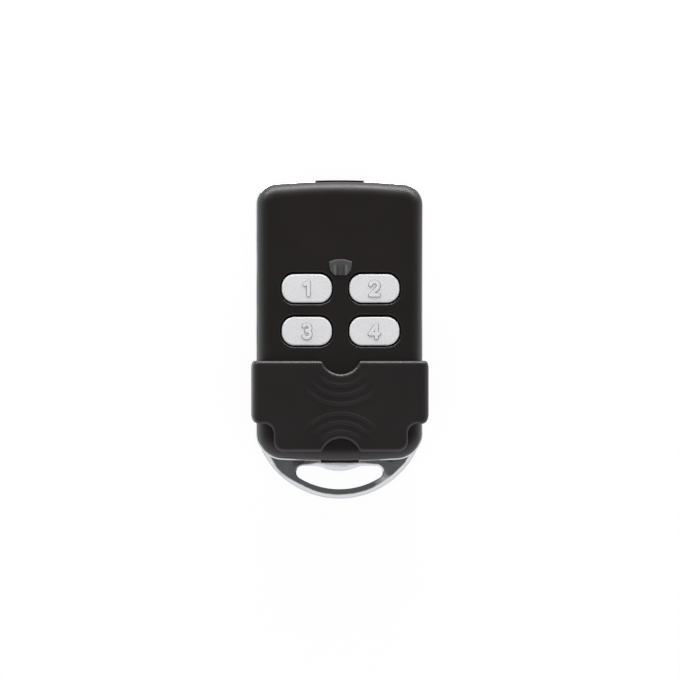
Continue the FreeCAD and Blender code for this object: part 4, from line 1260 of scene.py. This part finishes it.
def packed_finishes(colours):
    """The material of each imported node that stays: of one finish, or a body (colour, roughness
    and grain) whose ends past half from the centre along an axis have another finish."""
    row_y = middle_y("encoder_chip")
    passive_y = middle_y("chip_resistors")
    board_low, board_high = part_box("circuit_board")
    shell = new_material("moulded_abs_shell", moulded_plastic, base=tuple(colours.shell),
                         roughness=0.46, grain=SPARKED_GRAIN)
    finishes = {
        "front_shell": shell,
        "back_shell": shell,
        "circuit_board": new_material("green_solder_mask_on_glass_epoxy", board_laminate,
                                      low=board_low.z, high=board_high.z),
        "indicator_led": new_material("cast_clear_epoxy", clear_epoxy),
        "saw_resonator": new_material("drawn_nickel_can", nickel),
        "antenna_loop": new_material("tinned_copper_wire", tin),
        "battery_contact_positive": new_material("nickel_plated_strip", nickel),
        "battery_contact_negative": new_material("nickel_plated_spring", nickel),
        "case_screws": new_material("zinc_plated_steel", zinc),
    }
    for node, name, body, ends, axis, centre, half in (
            ("encoder_chip", "moulded_epoxy_and_tin_leads", ("#19191a", 0.55, 0.1 * MM), tin,
             1, row_y, 1.951 * MM),
            ("rf_transistor", "moulded_epoxy_and_tin_legs", ("#1c1c1d", 0.5, 0.1 * MM), tin,
             1, row_y, 0.651 * MM),
            ("chip_resistors", "resistor_glaze_and_tin_ends", ("#151517", 0.25, 0.2 * MM), tin,
             1, passive_y, 0.6 * MM),
            ("chip_capacitors", "fired_ceramic_and_tin_ends", ("#a98458", 0.45, 0.1 * MM), tin,
             1, passive_y, 0.6 * MM),
            ("battery", "printed_film_sleeve_and_nickel_ends", ("#26303f", 0.3, 1.5 * MM), nickel,
             0, -0.35 * MM, 13.7 * MM)):
        finishes[node] = new_material(name, two_finishes, body=body, ends=ends,
                                      share={"axis": axis, "centre": centre, "half": half})
    switch = new_material(
        "glass_filled_nylon_and_tin_leads", two_finishes, body=("#1b1b1d", 0.5, 0.15 * MM),
        ends=tin, share={"axis": 0, "centre": 7.2 * MM, "half": 2.601 * MM, "mirrored": True})
    plunger = new_material("white_acetal_plunger", moulded_plastic, base=linear("#e6e4dc"),
                           roughness=0.38, grain=0.2 * MM)
    for number in BUTTONS:
        finishes[f"switch_{number}"] = switch
        finishes[f"switch_plunger_{number}"] = plunger
    return finishes


class GATEREMOTE_OT_finishes(bpy.types.Operator):
    """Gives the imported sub-parts that stay their materials"""

    bl_idname = "gate_remote.finishes"
    bl_label = "Finishes of the packed parts"

    def execute(self, context):
        for node, material in packed_finishes(context.scene.gate_remote_colours).items():
            for slot in bpy.data.objects[node].material_slots:
                slot.material = material
        return {"FINISHED"}


# The stage: floor, studio walls, lights and camera

FLOOR_GAP = 0.05 * MM
FLOOR_SHADE = (0.1, 0.1, 0.1, 1.0)
FLOOR_GLOW = 0.935
WHITE = (1.0, 1.0, 1.0, 1.0)
WALL_SIDE = 0.22
WALL_BEHIND_LOOP = 1.05
OVERHEAD = 0.12
BOX_WIDTH = 1.8
BOX_HEIGHT = 0.18
BOX_ABOVE_FLOOR = 0.02
BOX_AWAY = 0.8
BOX_RADIANCE = 19.5
FILL_SIZE = 1.0
FILL_ABOVE = 1.4
FILL_RADIANCE = 1.2
AIM = (-0.135 * MM, -0.085 * MM)


def make_floor(size, base):
    """A square floor just clear of the remote's flat back. To the camera and in reflections it
    is almost white paper that still takes the object's shadow; to other light it is a plain pale
    floor."""
    half = size / 2
    corners = [(-half, -half, 0.0), (half, -half, 0.0), (half, half, 0.0), (-half, half, 0.0)]
    mesh = bpy.data.meshes.new("floor")
    mesh.from_pydata(corners, [], [(0, 1, 2, 3)])
    floor = bpy.data.objects.new("floor", mesh)
    floor.location = (0.0, 0.0, -FLOOR_GAP)
    bpy.context.scene.collection.objects.link(floor)
    mesh.materials.append(new_material("pale_studio_floor", floor_paper, base=base))


def floor_paper(tree, base):
    """Pale paper, which shows almost white to the camera and in gloss and glass."""
    rays = add_node(tree, "ShaderNodeLightPath").outputs
    seen = rays["Is Camera Ray"]
    for ray in ("Is Glossy Ray", "Is Transmission Ray"):
        seen = add_node(tree, "ShaderNodeMath", {0: seen, 1: rays[ray]},
                        operation="MAXIMUM").outputs[0]
    plain = add_node(tree, "ShaderNodeBsdfDiffuse", {"Color": base})
    shade = add_node(tree, "ShaderNodeBsdfDiffuse", {"Color": FLOOR_SHADE})
    glow = add_node(tree, "ShaderNodeEmission", {"Color": WHITE, "Strength": FLOOR_GLOW})
    white = add_node(tree, "ShaderNodeAddShader", {0: shade.outputs[0], 1: glow.outputs[0]})
    return add_node(tree, "ShaderNodeMixShader", {
        0: seen, 1: plain.outputs[0], 2: white.outputs[0]}).outputs[0]


def make_world(scene):
    """Studio walls: white low down and behind the key loop's end, grey at the sides, and nearly
    black overhead, where the camera stands."""
    world = bpy.data.worlds.new("studio_walls")
    world.use_nodes = True
    tree = world.node_tree
    tree.nodes.clear()
    place = add_node(tree, "ShaderNodeTexCoord").outputs["Generated"]
    ways = add_node(tree, "ShaderNodeSeparateXYZ", {0: place}).outputs
    behind = add_node(tree, "ShaderNodeMapRange", {
        "Value": ways[1], "From Min": -0.15, "From Max": -0.45, "To Min": WALL_SIDE,
        "To Max": WALL_BEHIND_LOOP}, interpolation_type="SMOOTHSTEP")
    low = add_node(tree, "ShaderNodeMapRange", {
        "Value": ways[2], "From Min": 0.08, "From Max": 0.16, "To Min": 1.0, "To Max": 0.0})
    wall = add_node(tree, "ShaderNodeMath", {0: behind.outputs[0], 1: low.outputs[0]},
                    operation="MAXIMUM")
    upright = add_node(tree, "ShaderNodeMapRange", {
        "Value": ways[2], "From Min": 0.45, "From Max": 0.97, "To Min": 1.0, "To Max": 0.0})
    level = add_node(tree, "ShaderNodeMapRange", {
        "Value": upright.outputs[0], "To Min": OVERHEAD, "To Max": wall.outputs[0]})
    back = add_node(tree, "ShaderNodeBackground", {"Color": WHITE, "Strength": level.outputs[0]})
    add_node(tree, "ShaderNodeOutputWorld", {"Surface": back.outputs[0]})
    scene.world = world


def make_lamp(name, wide, high, place, way, radiance, in_gloss):
    """A rectangular soft box at a place, whose light goes along a way."""
    light = bpy.data.lights.new(name, "AREA")
    light.shape = "RECTANGLE"
    light.size = wide
    light.size_y = high
    light.energy = radiance * math.pi * wide * high
    lamp = bpy.data.objects.new(name, light)
    bpy.context.scene.collection.objects.link(lamp)
    lamp.location = place
    lamp.rotation_mode = "QUATERNION"
    lamp.rotation_quaternion = Vector(way).to_track_quat("-Z", "Y")
    lamp.visible_camera = False
    lamp.visible_glossy = in_gloss
    lamp.visible_transmission = in_gloss


def make_lights():
    """A wide low soft box beyond the remote's upper end, which stands on the floor and lights the
    upper edges, and a big soft fill overhead that isn't seen in gloss."""
    make_lamp("soft_box", BOX_WIDTH, BOX_HEIGHT,
              (0.0, BOX_AWAY, BOX_HEIGHT / 2 + BOX_ABOVE_FLOOR), (0.0, -1.0, 0.0),
              BOX_RADIANCE, in_gloss=True)
    make_lamp("overhead_fill", FILL_SIZE, FILL_SIZE, (0.0, 0.0, FILL_ABOVE), (0.0, 0.0, -1.0),
              FILL_RADIANCE, in_gloss=False)


def make_camera(scene, sizes):
    """The camera looks down on the face, from a little to the left, as in the photograph."""
    lens = bpy.data.cameras.new("camera")
    lens.sensor_width = 36.0
    lens.lens = lens.sensor_width * sizes.camera_distance / sizes.frame_width
    camera = bpy.data.objects.new("camera", lens)
    scene.collection.objects.link(camera)
    aim = Vector((*AIM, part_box("front_shell")[1].z))
    back = Vector((-math.sin(sizes.camera_turn), 0.0, math.cos(sizes.camera_turn)))
    camera.location = aim + back * sizes.camera_distance
    camera.rotation_mode = "XYZ"
    camera.rotation_euler = (0.0, -sizes.camera_turn, 0.0)
    scene.camera = camera


class GATEREMOTE_OT_stage(bpy.types.Operator):
    """Makes the floor, the lights, the studio walls and the camera"""

    bl_idname = "gate_remote.stage"
    bl_label = "Stage"

    def execute(self, context):
        scene = context.scene
        scene.view_settings.view_transform = "Standard"
        make_floor(scene.gate_remote_stage.floor_size, tuple(scene.gate_remote_colours.floor))
        make_world(scene)
        make_lights()
        make_camera(scene, scene.gate_remote_stage)
        return {"FINISHED"}


OPERATORS = (
    GATEREMOTE_OT_stage,
    GATEREMOTE_OT_chrome_frame,
    GATEREMOTE_OT_buttons,
    GATEREMOTE_OT_lens,
    GATEREMOTE_OT_cover,
    GATEREMOTE_OT_finishes,
)


class GATEREMOTE_PT_panel(bpy.types.Panel):
    """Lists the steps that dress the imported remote"""

    bl_label = "Gate remote"
    bl_idname = "GATEREMOTE_PT_panel"
    bl_space_type = "VIEW_3D"
    bl_region_type = "UI"
    bl_category = "Gate remote"

    def draw(self, context):
        for step in OPERATORS:
            self.layout.operator(step.bl_idname)


CLASSES = (GateRemoteSizes, GateRemoteColours, GateRemoteStage, *OPERATORS, GATEREMOTE_PT_panel)


def register():
    for each in CLASSES:
        bpy.utils.register_class(each)
    bpy.types.Scene.gate_remote_sizes = bpy.props.PointerProperty(type=GateRemoteSizes)
    bpy.types.Scene.gate_remote_colours = bpy.props.PointerProperty(type=GateRemoteColours)
    bpy.types.Scene.gate_remote_stage = bpy.props.PointerProperty(type=GateRemoteStage)


def unregister():
    del bpy.types.Scene.gate_remote_stage
    del bpy.types.Scene.gate_remote_colours
    del bpy.types.Scene.gate_remote_sizes
    for each in reversed(CLASSES):
        bpy.utils.unregister_class(each)


def main():
    """Makes the scene."""
    register()
    bpy.ops.gate_remote.stage()
    bpy.ops.gate_remote.chrome_frame()
    bpy.ops.gate_remote.buttons()
    bpy.ops.gate_remote.lens()
    bpy.ops.gate_remote.cover()
    bpy.ops.gate_remote.finishes()
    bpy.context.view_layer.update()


if __name__ == "__main__":
    main()
